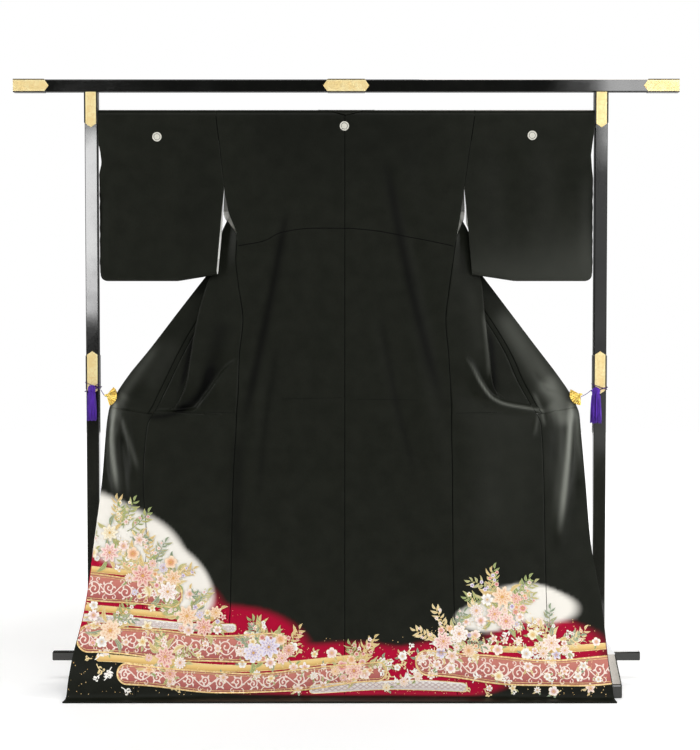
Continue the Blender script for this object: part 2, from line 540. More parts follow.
def body_points(side):
    return np.vstack([back_panel(side), over_rod(side), front_panel(side)])


def okumi_points(side):
    """The overlap panel's skirt, from the end of the lapel to the hem, seam first."""
    columns = skirt_columns(SKIRT_DOWN)
    start, edge = (one_side(columns, side)[name] for name in ("okumi", "edge"))
    rise = LAPEL_RISE * ease(1 - SKIRT_DOWN / 0.045)
    marks = sorted({(row.z, one_side(row._asdict(), side)["edge"]) for row in ACROSS[-4:] + SKIRT[:4]})
    end = np.where(rise > 0, smooth(*np.transpose(marks), columns["z"] + rise), edge)
    x = SIGN[side] * spaced(start, end, 42)
    t = np.clip((np.abs(x) - start[:, None] - OKUMI_SLIVER) / (end - start - OKUMI_SLIVER)[:, None], 0, 1)
    return turned_in(skirt_points(x, SKIRT_DOWN, rise[:, None] * t), (True, False))


def sliver_points(side):
    """The narrow strip of the overlap panel beside the lapel, above the skirt."""
    low, high, rows_up, columns = 0.7602, 1.252, 90, 9
    heights = np.linspace(low, high, rows_up)
    rows = upper_rows(heights)
    lapel = one_side(rows, side)["lapel"]
    start = okumi_seam(heights, lapel)
    x = SIGN[side] * (start[:, None] + (lapel - start)[:, None] * np.linspace(0, 1, columns))
    z = np.repeat(heights[:, None], columns, axis=1)
    forward = rows["lapel"][:, None] + crease_relief("front", x, z)
    return turned_in(shell_grid(x, forward + lip_relief(side, x, z) * near_lip(z), z)[::-1])


def neck_rows(side):
    """The collar round half the neck: each row turns over the rod, then drops to the collar's edge."""
    steps = np.linspace(0, len(NECK) - 1, 31)
    seam_x, angle, edge_x, edge_f, edge_z = smooth(range(len(NECK)), NECK, steps).T[..., None]
    share = np.linspace(0, 1, COLLAR_COLUMNS)
    turn = np.radians(180 - angle) * COLLAR_WRAP
    drop = np.hypot(edge_f + COLLAR_WRAP, edge_z - ROD_Z)
    s = (turn + drop) * share
    over, t = np.radians(angle) + s / COLLAR_WRAP, (s - turn) / drop
    forward = np.where(s < turn, COLLAR_WRAP * np.cos(over), (edge_f + COLLAR_WRAP) * t - COLLAR_WRAP)
    z = ROD_Z + np.where(s < turn, COLLAR_WRAP * np.sin(over), (edge_z - ROD_Z) * t)
    return np.stack([SIGN[side] * (seam_x + (edge_x - seam_x) * share), forward, z], axis=2)


def lapel_rows(side, start):
    """The rolled lapel from its first pair of places, at the neck, down to its end under the clip."""
    pairs = [[(roll.seam_x, roll.seam_f, roll.seam_z), (roll.edge_x, roll.edge_f, roll.edge_z)]
             for roll in ROLL]
    marks = [row.z for row in ACROSS if SKIRT[0].z < row.z < 1.35]
    rows, raised = upper_rows(marks), upper_rows(np.array(marks) + LAPEL_RISE)
    for i, z in enumerate(marks):
        step = LAPEL_STEP if z > 1.26 else 0.0
        pairs.append([(one_side(rows, side)["lapel"][i], rows["lapel"][i] - step, z),
                      (one_side(raised, side)["edge"][i], raised["edge"][i], z + LAPEL_RISE)])
    last = SKIRT[0]
    last_z = last.z - 0.0004
    edge_x = one_side(columns_by_height(ACROSS, [last_z + LAPEL_RISE]), side)["edge"][0]
    pairs.append([(one_side(last._asdict(), side)["okumi"] + OKUMI_SLIVER, last.okumi_f - 0.0002, last_z),
                  (edge_x, last.edge_f, last_z + LAPEL_RISE)])
    pairs = np.concatenate([[start], np.array(pairs) * [SIGN[side], 1, 1]])
    knots = np.concatenate([[0], np.cumsum(np.linalg.norm(np.diff(pairs.mean(axis=1), axis=0), axis=1))])
    fine = smooth(knots, pairs, np.linspace(0, knots[-1], 190))
    t = np.linspace(0, 1, COLLAR_COLUMNS)[:, None]
    return fine[:, :1] * (1 - t) + fine[:, 1:] * t


def collar_half(side):
    neck = neck_rows(side)
    return np.vstack([neck, lapel_rows(side, neck[-1, [0, -1]])[1:]])


def collar_points():
    """The collar from one lapel's end round the neck to the other's, a section for each row."""
    x, forward, z = np.moveaxis(np.vstack([collar_half("left")[:0:-1], collar_half("right")]), 2, 0)
    low = ease((FOLDS_BELOW - z) / 0.1)
    crown = 0.0012 * np.sin(np.pi * np.linspace(0, 1, COLLAR_COLUMNS)) * low * ease((z - 0.80) / 0.10)
    lip = np.where(x < 0, lip_relief("left", x, z), lip_relief("right", x, z))
    forward = forward + crown + low * (crease_relief("collar", x, z) + crease_relief("front", x, z))
    forward = forward + lip * near_lip(z) * ease((0.60 - np.abs(x)) / 0.05)
    return turned_in(shell_grid(x, forward, z), (True, False))


def sleeve_layer(side, u, front, z):
    """Distance across and forward of a sleeve's layer at height z, u of the way out from its inner edge."""
    hole_x, low_x = SLEEVE_INNER[side]
    inner = np.interp(z, [SLEEVE_INNER_BOTTOM, ARMHOLE_END, ROD_Z], [low_x, hole_x, SHOULDER[side]])
    if front:
        hidden = ease((1.292 - z) / 0.02) * FURI_HIDDEN[side]
        inner = inner - FURI_SHOWS * ease((1.345 - z) / 0.065) * (1 - hidden)
    uneven = 0.0004 * (np.sin(2 * math.pi * z / 0.047) + np.sin(2 * math.pi * z / 0.031 + 1)) * (z < 1.42)
    outer = SLEEVE_OUTER_X + 0.0030 - np.interp(z, *np.transpose(CUFF_GAPS[side])) + uneven
    t = np.clip((ROD_Z - z) / (ROD_Z - SLEEVE_BOTTOM), 0, 1)
    lean = SLEEVE_LEAN_INNER + (SLEEVE_LEAN_OUTER - SLEEVE_LEAN_INNER) * u
    half = WRAP_RADIUS + (SLEEVE_HALF_BOTTOM - WRAP_RADIUS) * t
    sewn = np.interp(z, [SLEEVE_CUFF_END, SLEEVE_CUFF_TOP], [1, 0]) * np.interp(u, [0.90, 1], [0, 1])
    half = half + (SLEEVE_SEAM_HALF - half) * sewn
    return inner + (outer - inner) * u, lean * t**1.5 + (-half if front else half)


def sleeve_bottom(side, x):
    low = np.interp(x, [SLEEVE_INNER[side][1], SLEEVE_RISE_END_X], [SLEEVE_INNER_BOTTOM, SLEEVE_BOTTOM])
    into = np.maximum(0, x - (SLEEVE_OUTER_X - SLEEVE_CORNER))
    return low + SLEEVE_CORNER - math.sqrt(max(0.0, SLEEVE_CORNER**2 - into**2))


def sleeve_points(side):
    """A sleeve as a loop of cloth over the rod: rows run out from the armhole to the cuff."""
    stations = np.concatenate([[0, 0.006, 0.016], np.linspace(0.03, 0.92, 30), np.linspace(0.935, 0.99, 7),
                               [0.996, 1.0]])
    under, over = np.radians(np.linspace(0, 180, 9)[1:-1]), np.radians(np.linspace(180, 0, 13)[1:-1])
    rows = []
    for u in stations:
        x_low, _ = sleeve_layer(side, u, False, SLEEVE_INNER_BOTTOM)
        low = sleeve_bottom(side, float(x_low))
        heights = np.linspace(ROD_Z, low + SLEEVE_TURN, 48)
        (back_x, back_f), (front_x, front_f) = (sleeve_layer(side, u, front, heights)
                                                for front in (False, True))
        middle, half = (back_f[-1] + front_f[-1]) / 2, (back_f[-1] - front_f[-1]) / 2
        rows.append(np.vstack([
            np.column_stack([back_x, back_f, heights]),
            np.column_stack([np.linspace(back_x[-1], front_x[-1], 9)[1:-1], middle + half * np.cos(under),
                             low + SLEEVE_TURN - SLEEVE_TURN * np.sin(under)]),
            np.column_stack([front_x, front_f, heights])[::-1],
            np.column_stack([np.full(len(over), back_x[0]), WRAP_RADIUS * np.cos(over),
                             ROD_Z + WRAP_RADIUS * np.sin(over)]),
        ]))
    x, forward, z = np.moveaxis(rows, 2, 0)
    x = SIGN[side] * x
    return shell_grid(x, forward + crease_relief("sleeve", x, z), z)


def front_lining_points(side):
    """White lining inside the front panel, where the armhole shows it, with the soft folds of loose silk."""
    low, high, length = 1.318, 1.492, 0.174
    panel = front_panel(side)
    heights = panel[:, 0, 2]
    rows = panel[(heights < high) & (heights > low)][:, : 3 * FINE + 1]
    u, down = np.linspace(0, 1, rows.shape[1]), (rows[..., 2] - low) / length
    fold = 0.0011 * np.sin(2 * math.pi * (1.6 * u + 0.4 * down)) * np.sin(np.pi * np.clip(down, 0, 1)) ** 0.5
    return rows - (LINING_DEPTH + fold[..., None]) * np.array([0, 1.0, 0])


def sleeve_lining_points(side):
    """White lining inside the sleeve's front layer, along its open inner edge, with one long soft fold."""
    high, low, length = 1.345, 1.190, 0.155
    heights = np.linspace(high, low, 27)
    columns = []
    for u in np.linspace(0.004, 0.12, 12):
        x, forward = sleeve_layer(side, u, True, heights)
        fold = 0.0009 * np.sin(2 * math.pi * (8 * u + 0.5 * (heights - low) / length))
        columns.append((SIGN[side] * x, forward + LINING_DEPTH + fold, heights))
    return shell_grid(*np.moveaxis(columns, 0, 2))


# Materials

def shader_of(material):
    return material.node_tree.nodes["Principled BSDF"]


def new_material(name, colour, roughness, metallic=0.0, specular=0.5, sheen=0.0, coat=0.0):
    made = bpy.data.materials.new(name)
    made.use_nodes = True
    for socket, value in (("Base Color", (*colour, 1)), ("Roughness", roughness), ("Metallic", metallic),
                          ("Specular IOR Level", specular), ("Sheen Weight", sheen), ("Coat Weight", coat)):
        shader_of(made).inputs[socket].default_value = value
    return made


class Graph:
    """Short names for making and joining a material's nodes."""

    def __init__(self, material):
        self.tree = material.node_tree
        self.shader = shader_of(material)
        self.place = self.node("ShaderNodeTexCoord").outputs["Object"]

    def node(self, kind, numbers=(), **settings):
        """A node with its settings, and with numbers in its sockets."""
        made = self.tree.nodes.new(kind)
        for name, value in settings.items():
            setattr(made, name, value)
        for socket, number in dict(numbers).items():
            made.inputs[socket].default_value = number
        return made

    def join(self, source, target):
        self.tree.links.new(source, target)

    def feed(self, socket, source):
        """Joins a result to one of the shader's sockets."""
        self.join(source, self.shader.inputs[socket])

    def texture(self, kind, numbers, vector=None, **settings):
        made = self.node(kind, numbers, **settings)
        self.join(self.place if vector is None else vector, made.inputs["Vector"])
        return made.outputs

    def scaled(self, scale):
        return self.texture("ShaderNodeMapping", {"Scale": scale})["Vector"]

    def noise(self, scale, detail=2.0, vector=None):
        return self.texture("ShaderNodeTexNoise", {"Scale": scale, "Detail": detail}, vector)["Fac"]

    def waves(self, scale, direction, distortion=0.0, detail=1.0):
        numbers = {"Scale": scale, "Distortion": distortion, "Detail": detail}
        return self.texture("ShaderNodeTexWave", numbers, bands_direction=direction)["Fac"]

    def along(self, axis):
        return self.texture("ShaderNodeSeparateXYZ", {})[axis]

    def carried(self, name):
        """What the mesh carries at each of its points."""
        return self.node("ShaderNodeAttribute", attribute_name=name).outputs

    def fill(self, sockets, values):
        """Puts each value into its socket, or joins it where it is another node's result."""
        for socket, value in zip(sockets, values):
            if isinstance(value, tuple):
                socket.default_value = (*value, 1)
            elif isinstance(value, (int, float)):
                socket.default_value = value
            else:
                self.join(value, socket)

    def math(self, operation, *values, clamp=False):
        made = self.node("ShaderNodeMath", operation=operation, use_clamp=clamp)
        self.fill(made.inputs, values)
        return made.outputs[0]

    def remap(self, value, low, high, to_low=0.0, to_high=1.0):
        made = self.node("ShaderNodeMapRange", {"From Min": low, "From Max": high,
                                                "To Min": to_low, "To Max": to_high})
        self.join(value, made.inputs["Value"])
        return made.outputs["Result"]

    def mix(self, factor, a, b):
        made = self.node("ShaderNodeMix", data_type="RGBA")
        self.fill((made.inputs[0], made.inputs[6], made.inputs[7]), (factor, a, b))
        return made.outputs[2]

    def bump(self, height, distance, strength=1.0):
        made = self.node("ShaderNodeBump", {"Strength": strength, "Distance": distance})
        self.join(height, made.inputs["Height"])
        self.feed("Normal", made.outputs["Normal"])


def crepe_material():
    """Black silk crepe: a fine pebbled weave, uneven in tone, that shines where it is pulled taut."""
    made = new_material("kimono_black_crepe", (0.0058, 0.0069, 0.0043), 0.44, specular=0.08)
    g = Graph(made)
    grain = g.noise(1500, 2.0, g.scaled((1.0, 1.0, 0.55)))
    pebble = g.noise(420, 2.0, g.scaled((1.0, 1.0, 0.6)))
    weft = g.waves(170, "Z", 1.2, 2.0)
    weave = g.math("ADD", grain, g.math("MULTIPLY", weft, 0.4))
    g.bump(g.math("ADD", weave, g.math("MULTIPLY", pebble, 1.5)), 0.00014, 0.30)
    tone = g.remap(g.math("ADD", g.noise(24, 3.0), g.math("MULTIPLY", pebble, 0.8)), 0.65, 1.15)
    plain = g.mix(tone, (0.0066, 0.0076, 0.0049), (0.0104, 0.0115, 0.0080))
    shine = g.carried("shine")["Fac"]
    dulled = g.mix(g.math("MULTIPLY", shine, -1.0, clamp=True), plain, (0.0003, 0.0004, 0.0002))
    base = g.mix(g.math("MULTIPLY", shine, 1.0, clamp=True), dulled, (0.165, 0.172, 0.150))
    ground = g.carried("ground")
    g.feed("Base Color", g.mix(ground["Alpha"], base, ground["Color"]))
    g.feed("Roughness", g.remap(grain, 0.2, 0.8, 0.40, 0.48))
    return made


def lining_material(name, light):
    """White silk lining with a satin sheen, black along the skirt's lower part."""
    made = new_material(name, (0.78, 0.78, 0.74), 0.42, specular=0.5, sheen=0.1)
    g = Graph(made)
    g.bump(g.math("ADD", g.noise(1200, 1.0, g.scaled((1.0, 1.0, 0.25))), g.waves(300, "X", 0.5)), 0.0001, 0.4)
    low = g.math("LESS_THAN", g.along("Z"), 0.46)
    white = g.mix(g.remap(g.noise(12, 2.0), 0.35, 0.65),
                  *(tuple(light * v for v in tone) for tone in ((0.92, 0.92, 0.87), (1.0, 0.99, 0.94))))
    g.feed("Base Color", g.mix(low, white, (0.017, 0.018, 0.0155)))
    return made


def lacquer_material():
    """Black lacquer over wood: deep gloss, faint orange peel, softly rubbed edges."""
    made = new_material("stand_black_lacquer", (0.006, 0.0062, 0.0055), 0.12, specular=0.5, coat=0.3)
    shader_of(made).inputs["Coat Roughness"].default_value = 0.06
    g = Graph(made)
    g.bump(g.noise(60, 2.0), 0.0003, 0.05)
    g.feed("Roughness", g.remap(g.noise(9, 4.0), 0.40, 0.75, 0.07, 0.16))
    low = g.remap(g.along("Z"), 0.86, 0.62)
    handled = g.mix(low, (0.0008, 0.0010, 0.0005), (0.0105, 0.0112, 0.0080))
    worn = g.mix(low, (0.0024, 0.0026, 0.0018), (0.0135, 0.0142, 0.0105))
    g.feed("Base Color", g.mix(g.remap(g.noise(30, 3.0), 0.35, 0.7), handled, worn))
    return made


def gilt_material(name, axis, centre, half):
    """Pale gilt plates with a fine engraved scroll, let into the lacquer with a dark margin."""
    made = new_material(name, (0.90, 0.72, 0.38), 0.42, metallic=0.7)
    g = Graph(made)
    small = g.node("ShaderNodeVectorMath", {"Scale": 0.016}, operation="SCALE")
    g.join(g.texture("ShaderNodeTexNoise", {"Scale": 60})["Color"], small.inputs[0])
    bent = g.node("ShaderNodeVectorMath", operation="ADD")
    g.join(g.place, bent.inputs[0])
    g.join(small.outputs[0], bent.inputs[1])
    scroll = g.texture("ShaderNodeTexVoronoi", {"Scale": 70}, bent.outputs[0], feature="DISTANCE_TO_EDGE")
    lines = g.remap(scroll["Distance"], 0.02, 0.07)
    g.bump(g.math("ADD", lines, g.math("MULTIPLY", g.noise(700, 1.0), 0.2)), 0.0003, 0.4)
    ground = g.mix(g.remap(g.noise(45, 3.0), 0.35, 0.65), (0.92, 0.71, 0.32), (0.98, 0.83, 0.44))
    away = g.math("ABSOLUTE", g.math("SUBTRACT", g.math("ABSOLUTE", g.along(axis)), centre))
    margin = g.remap(away, half, half + 0.0006)
    border = g.remap(g.math("ABSOLUTE", g.math("SUBTRACT", away, half - 0.0022)), 0.0003, 0.0009)
    face = g.mix(border, (0.99, 0.89, 0.50), g.mix(lines, (0.91, 0.69, 0.32), ground))
    g.feed("Base Color", g.mix(margin, face, (0.004, 0.004, 0.003)))
    g.feed("Metallic", g.math("MULTIPLY", g.math("SUBTRACT", 1.0, margin), 0.7))
    g.feed("Roughness", g.remap(g.noise(240, 3.0), 0.3, 0.7, 0.36, 0.52))
    return made


def gold_material():
    made = new_material("clip_gold", (0.93, 0.62, 0.18), 0.28, metallic=0.9)
    g = Graph(made)
    g.bump(g.noise(500, 2.0), 0.0001, 0.3)
    face = g.mix(g.remap(g.noise(120, 2.0), 0.35, 0.65), (0.94, 0.60, 0.11), (1.0, 0.80, 0.22))
    g.feed("Base Color", g.mix(g.carried("valley")["Fac"], face, (0.50, 0.24, 0.04)))
    return made


def purple_material(name, dark, light, sheen):
    made = new_material(name, (0.10, 0.022, 0.40), 0.50, specular=0.3, sheen=sheen)
    g = Graph(made)
    g.bump(g.noise(1600, 2.0, g.scaled((1.0, 1.0, 0.3))), 0.0003, 0.5)
    twist = g.remap(g.noise(260, 2.0, g.scaled((1.0, 1.0, 0.1))), 0.35, 0.65)
    g.feed("Base Color", g.mix(twist, dark, light))
    return made


def paint_material():
    """Dyed and embroidered silk: colour carried by the motifs, with a fine thread grain."""
    made = new_material("hem_coloured_silk", (0.5, 0.4, 0.4), 0.55, specular=0.4, sheen=0.1)
    g = Graph(made)
    thread = g.noise(900, 2.0, g.scaled((1.0, 1.0, 0.35)))
    shaded = g.node("ShaderNodeVectorMath", operation="SCALE")
    g.join(g.carried("paint")["Color"], shaded.inputs[0])
    g.join(g.remap(thread, 0.25, 0.75, 0.80, 0.93), shaded.inputs["Scale"])
    g.feed("Base Color", shaded.outputs[0])
    g.bump(thread, 0.0002, 0.4)
    return made


def gold_thread_material():
    made = new_material("hem_gold_thread", (0.80, 0.56, 0.24), 0.42, metallic=0.65)
    g = Graph(made)
    g.bump(g.noise(1400, 1.0), 0.0002, 0.5)
    tone = g.remap(g.noise(160, 2.0), 0.35, 0.65)
    g.feed("Base Color", g.mix(tone, (0.66, 0.42, 0.15), (0.92, 0.72, 0.38)))
    return made


def shadow_material(name, colour, roughness, specular):
    """A dull dark line on the crepe, in a seam's hollow or a storage crease."""
    made = new_material(name, colour, roughness, specular=specular)
    g = Graph(made)
    g.bump(g.noise(900), 0.0001, 0.2)
    return made


CREPE = crepe_material()
PAINT = paint_material()
GOLD_THREAD = gold_thread_material()
LINING = lining_material("kimono_white_lining", 0.82)
SHADED_LINING = lining_material("kimono_inner_lining", 0.40)
LACQUER = lacquer_material()
GILT_POST = gilt_material("stand_gilt_upright", "X", POST_X, 0.0142)
GILT_BAR = gilt_material("stand_gilt_level", "Z", BAR_Z, 0.0152)
GOLD = gold_material()
PURPLE = purple_material("purple_silk_cord", (0.042, 0.008, 0.20), (0.105, 0.018, 0.44), 0.06)
DARK_CORD = purple_material("dark_purple_cord", (0.022, 0.005, 0.060), (0.050, 0.009, 0.14), 0.0)


# Cloth pieces

def link(name, mesh, *looks):
    made = bpy.data.objects.new(name, mesh)
    bpy.context.scene.collection.objects.link(made)
    for look in looks:
        mesh.materials.append(look)
    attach(made, "root")
    return made


def quads(rows, columns, ring=False, start=0):
    """The faces of a grid of points; a ring's last column joins its first."""
    index = np.arange(rows * columns).reshape(rows, columns) + start
    if ring:
        index = np.concatenate([index, index[:, :1]], axis=1)
    return np.stack([index[:-1, :-1], index[:-1, 1:], index[1:, 1:], index[1:, :-1]], axis=2).reshape(-1, 4)


def mesh_of(name, points, faces):
    mesh = bpy.data.meshes.new(name)
    mesh.from_pydata(points, [], faces)
    mesh.shade_smooth()
    return mesh


def grid_mesh(name, points, ring=False, flip=False):
    faces = quads(*points.shape[:2], ring)
    return mesh_of(name, points.reshape(-1, 3).tolist(), (faces[:, ::-1] if flip else faces).tolist())


def carry(mesh, name, values, kind="FLOAT_COLOR"):
    """Stores a colour, or one number where the kind is FLOAT, at each of a mesh's points."""
    made = mesh.attributes.new(name, kind, "POINT")
    made.data.foreach_set("value" if kind == "FLOAT" else "color", np.ravel(values).astype(np.float32))


def dark_line(name, points, look):
    """A narrow strip of dark cloth, such as the line of a seam."""
    link(name, grid_mesh(name, points), look)


def srgb(*shown):
    """Linear colour from the numbers a screen shows."""
    return tuple(v / 255 / 12.92 if v <= 10 else ((v / 255 + 0.055) / 1.055) ** 2.4 for v in shown)


CREAM, CRIMSON = srgb(227, 223, 214), srgb(162, 4, 46)

# How high above the hem the dyes and motifs, the gold dust, the groups and the loose motifs start.
DESIGN_LOW, DUST_LOW, GROUP_LOW, LOOSE_LOW = 0.066, 0.075, 0.082, 0.088

# Soft dyed grounds: place, reach, lean in degrees, colour and strength.
GROUNDS = table("x s reach_x reach_s lean colour strength", [
    (-0.600, 0.330, 0.250, 0.110, -14, CRIMSON, 0.96),
    (-0.340, 0.225, 0.230, 0.090, -10, CRIMSON, 0.96),
    (-0.060, 0.140, 0.300, 0.068, 0, CRIMSON, 0.95),
    (0.250, 0.140, 0.220, 0.072, 3, CRIMSON, 0.95),
    (0.540, 0.200, 0.150, 0.078, 0, CRIMSON, 0.94),
    (-0.610, 0.505, 0.165, 0.078, -30, CREAM, 0.99),
    (-0.480, 0.405, 0.130, 0.066, -46, CREAM, 0.99),
    (0.515, 0.322, 0.110, 0.048, -8, CREAM, 0.98),
    (0.395, 0.292, 0.085, 0.040, 10, CREAM, 0.96),
])

# How square a ground's outline is, 2 being an ellipse, and how wide its soft edge.
GROUND_POWER, GROUND_SOFTNESS = 2.2, 0.30


def ground_colours(x, s):
    """Colour and strength of the dyed grounds at a distance across and a height above the hem."""
    colour = np.zeros((*x.shape, 3))
    cover = np.zeros(x.shape)
    for ground in GROUNDS:
        lean = math.radians(ground.lean)
        dx, ds = x - ground.x, s - ground.s
        a = (dx * math.cos(lean) + ds * math.sin(lean)) / ground.reach_x
        b = (ds * math.cos(lean) - dx * math.sin(lean)) / ground.reach_s
        edge = 0.06 * np.sin(4.5 * dx / ground.reach_x + 3 * ground.x)
        away = (np.abs(a)**GROUND_POWER + np.abs(b)**GROUND_POWER)**(1 / GROUND_POWER)
        weight = ground.strength * ease((1.22 + edge - away) / GROUND_SOFTNESS)
        colour = colour * (1 - weight[..., None]) + np.array(ground.colour) * weight[..., None]
        cover = cover + (1 - cover) * weight
    colour = colour / np.maximum(cover, 0.02)[..., None]
    return np.concatenate([colour, (cover * ease((s - DESIGN_LOW) / 0.012))[..., None]], axis=-1)


def shell(name, points, thickness=CLOTH, ring=False, flip=False, hem_rows=(), inner=LINING,
          slot="black_crepe", reach=None, on=("main", "front")):
    """A sheet of cloth: black outside, lining inside, thickened to both sides of its points."""
    mesh = grid_mesh(name, points, ring, flip)
    if slot == "black_crepe":
        up = np.full(len(points), FAR_UP) if reach is None else reach
        carry(mesh, "ground", ground_colours(points[..., 0], np.repeat(up[:, None], points.shape[1], axis=1)))
        carry(mesh, "shine", silk_shine(on, points), "FLOAT")
        made = link(name, mesh, CREPE, inner)
    else:
        look = SHADED_LINING if "front" in name else LINING
        made = link(name, mesh, look, look)
    solid = made.modifiers.new("cloth thickness", "SOLIDIFY")
    solid.thickness, solid.offset, solid.material_offset, solid.use_even_offset = thickness, 0.0, 1, False
    if hem_rows:
        count = points.shape[1]
        group = made.vertex_groups.new(name="hem_roll")
        for back_from_hem, weight in enumerate((1.0, 0.85, 0.45, 0.12)):
            for row in hem_rows:
                at = row + back_from_hem if row == 0 else len(points) - 1 - back_from_hem
                group.add(list(range(at * count, (at + 1) * count)), weight, "REPLACE")
        solid.thickness = HEM_ROLL
        solid.thickness_vertex_group = thickness / HEM_ROLL
        solid.vertex_group = "hem_roll"
    return made


def build_garment():
    up = SKIRT_LENGTH - SKIRT_DOWN
    above = np.full(2 * (len(TOP_Z) - 1) + 11, FAR_UP)
    kinds = {
        "body": (body_points, dict(hem_rows=(0, -1), reach=np.concatenate([up[::-1], above, up]))),
        "okumi": (okumi_points, dict(hem_rows=(-1,), reach=up, on=("main", "front", "collar"))),
        "okumi_upper": (sliver_points, {}),
        "sleeve": (sleeve_points, dict(ring=True, on=("sleeve",))),
        "front_lining": (front_lining_points, dict(thickness=LINING_CLOTH, slot="white_silk")),
        "sleeve_lining": (sleeve_lining_points, dict(thickness=LINING_CLOTH, slot="white_silk")),
    }
    made = {}
    for side in SIGN:
        for kind, (points, how) in kinds.items():
            name = f"{kind}_{side}"
            flip = (side == "right") != (kind == "sleeve")
            made[name] = shell("kimono_" + name, points(side), flip=flip, **how)
            if kind != "okumi_upper":
                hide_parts(name)
    made["collar"] = shell("kimono_collar", collar_points(), COLLAR_CLOTH, inner=CREPE,
                           on=("front", "collar"))
    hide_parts("collar")
    return made


GARMENT = build_garment()


# Hem design

class HemSurface:
    """Finds places on the skirt's outer face from a distance across and a height above the hem."""

    COLUMNS = 361

    def __init__(self):
        rows = skirt_columns(SKIRT_DOWN)
        self.left, self.right = rows["edge_l"] + CENTRE_X, rows["edge_r"] - CENTRE_X
        u = np.linspace(-1, 1, self.COLUMNS)[None, :]
        x = CENTRE_X + np.where(u < 0, u * self.left[:, None], u * self.right[:, None])
        self.grid = skirt_points(x, SKIRT_DOWN)
        normal = np.cross(np.gradient(self.grid, axis=0), np.gradient(self.grid, axis=1))
        self.normal = normal / np.linalg.norm(normal, axis=2, keepdims=True)

    def place(self, x, height, lift):
        down = np.clip(SKIRT_LENGTH - height, 0.002, SKIRT_LENGTH - DESIGN_LOW)
        i = np.clip(np.searchsorted(SKIRT_DOWN, down) - 1, 0, len(SKIRT_DOWN) - 2)
        t = (down - SKIRT_DOWN[i]) / (SKIRT_DOWN[i + 1] - SKIRT_DOWN[i])
        left = self.left[i] * (1 - t) + self.left[i + 1] * t
        right = self.right[i] * (1 - t) + self.right[i + 1] * t
        away = x - CENTRE_X
        u = np.clip(np.where(away < 0, away / left, away / right), -0.997, 0.997)
        column = (u + 1) / 2 * (self.COLUMNS - 1)
        j = np.clip(column.astype(int), 0, self.COLUMNS - 2)
        q = (column - j)[..., None]
        t = t[..., None]

        def blended(grid):
            above, below = (grid[k, j] * (1 - q) + grid[k, j + 1] * q for k in (i, i + 1))
            return above * (1 - t) + below * t

        return blended(self.grid) + blended(self.normal) * np.asarray(lift)[..., None]


HEM = HemSurface()
RANDOM = random.Random(11)
# Stands for a colour where a motif is in gold thread.
GOLD_LOOK = "gold"
TURN = 2 * math.pi


class Painter:
    """Gathers small flat motifs on the skirt into a few meshes."""

    LIMIT = 70000

    def __init__(self, name):
        self.name, self.made = name, 0
        self.clear()

    def clear(self):
        self.points, self.faces, self.colours, self.looks, self.count = [], [], [], [], 0

    def grid(self, x, height, lift, colour, closed=False):
        """A patch of rows and columns; colour is a look, one colour, or one for each row or point."""
        rows, columns = x.shape
        gilt = isinstance(colour, str)
        tones = np.array((0.8, 0.56, 0.24) if gilt else colour, float)
        if tones.ndim == 2:
            tones = tones[:, None, :]
        faces = quads(rows, columns, closed, self.count)
        self.points.append(HEM.place(x, height, np.broadcast_to(lift, x.shape)).reshape(-1, 3))
        self.faces.append(faces)
        self.colours.append(np.broadcast_to(tones, (rows, columns, 3)).reshape(-1, 3))
        self.looks.append(np.full(len(faces), int(gilt)))
        self.count += rows * columns
        if sum(map(len, self.faces)) > self.LIMIT:
            self.flush()

    def flush(self):
        if not self.points:
            return
        self.made += 1
        name = f"{self.name}_{self.made}"
        points, colours = np.concatenate(self.points), np.concatenate(self.colours)
        mesh = mesh_of(name, points.tolist(), np.concatenate(self.faces).tolist())
        carry(mesh, "paint", np.column_stack([colours, np.ones(len(colours))]))
        link(name, mesh, PAINT, GOLD_THREAD)
        mesh.polygons.foreach_set("material_index", np.concatenate(self.looks))
        self.clear()


BRUSH = Painter("hem_motifs")
BASE_LIFT = 0.0012
LEVEL = [BASE_LIFT]
# How far above the lowest bars each kind of motif starts.
SECOND_BARS, SCROLLS, DUST, LOOSE, SPRAYS, LEAVES, BLOSSOMS = (
    0.0004, 0.0008, 0.0009, 0.0010, 0.0011, 0.0013, 0.0014)


def start_lift(above):
    """Sets how far above the lowest motifs the next one is drawn."""
    LEVEL[0] = BASE_LIFT + above


def next_lift(step=0.00002):
    LEVEL[0] += step
    return LEVEL[0]


def around(x, s, reach, turn):
    """Places at a reach from x, s, in the directions turn."""
    return np.column_stack([x + reach * np.cos(turn), s + reach * np.sin(turn)])


def spun(x, s, dx, ds, angle):
    """x, s moved by dx and ds, which are turned through an angle."""
    c, d = math.cos(angle), math.sin(angle)
    return x + dx * c - ds * d, s + dx * d + ds * c


def walk(x, s, heading, step):
    """The path of a point that takes a step in each heading."""
    return np.column_stack([x + np.cumsum(np.cos(heading) * step), s + np.cumsum(np.sin(heading) * step)])


def ribbon(path, width, lift, colour):
    """A flat strip along a path; its width may change along it."""
    path = np.asarray(path, float)
    ahead = np.gradient(path, axis=0)
    ahead /= np.linalg.norm(ahead, axis=1, keepdims=True) + 1e-12
    offset = np.array([[0.5], [-0.5]]) * np.broadcast_to(width, len(path))
    BRUSH.grid(path[:, 0] - ahead[:, 1] * offset, path[:, 1] + ahead[:, 0] * offset, lift, colour)


def rings(x, s, reach, stops, lift, angle=0.0):
    """A round motif: its outline's reach in each direction, coloured from the centre out."""
    turn = np.linspace(0, TURN, len(reach), endpoint=False)
    share = np.array([stop for stop, _ in stops])[:, None]
    colours = stops[0][1] if isinstance(stops[0][1], str) else [colour for _, colour in stops]
    BRUSH.grid(*spun(x, s, reach * np.cos(turn) * share, reach * np.sin(turn) * share, angle), lift, colours,
               closed=True)


def dot(x, s, size, colour, lift, count=10):
    rings(x, s, np.full(count, size), [(0.05, colour), (1.0, colour)], lift)


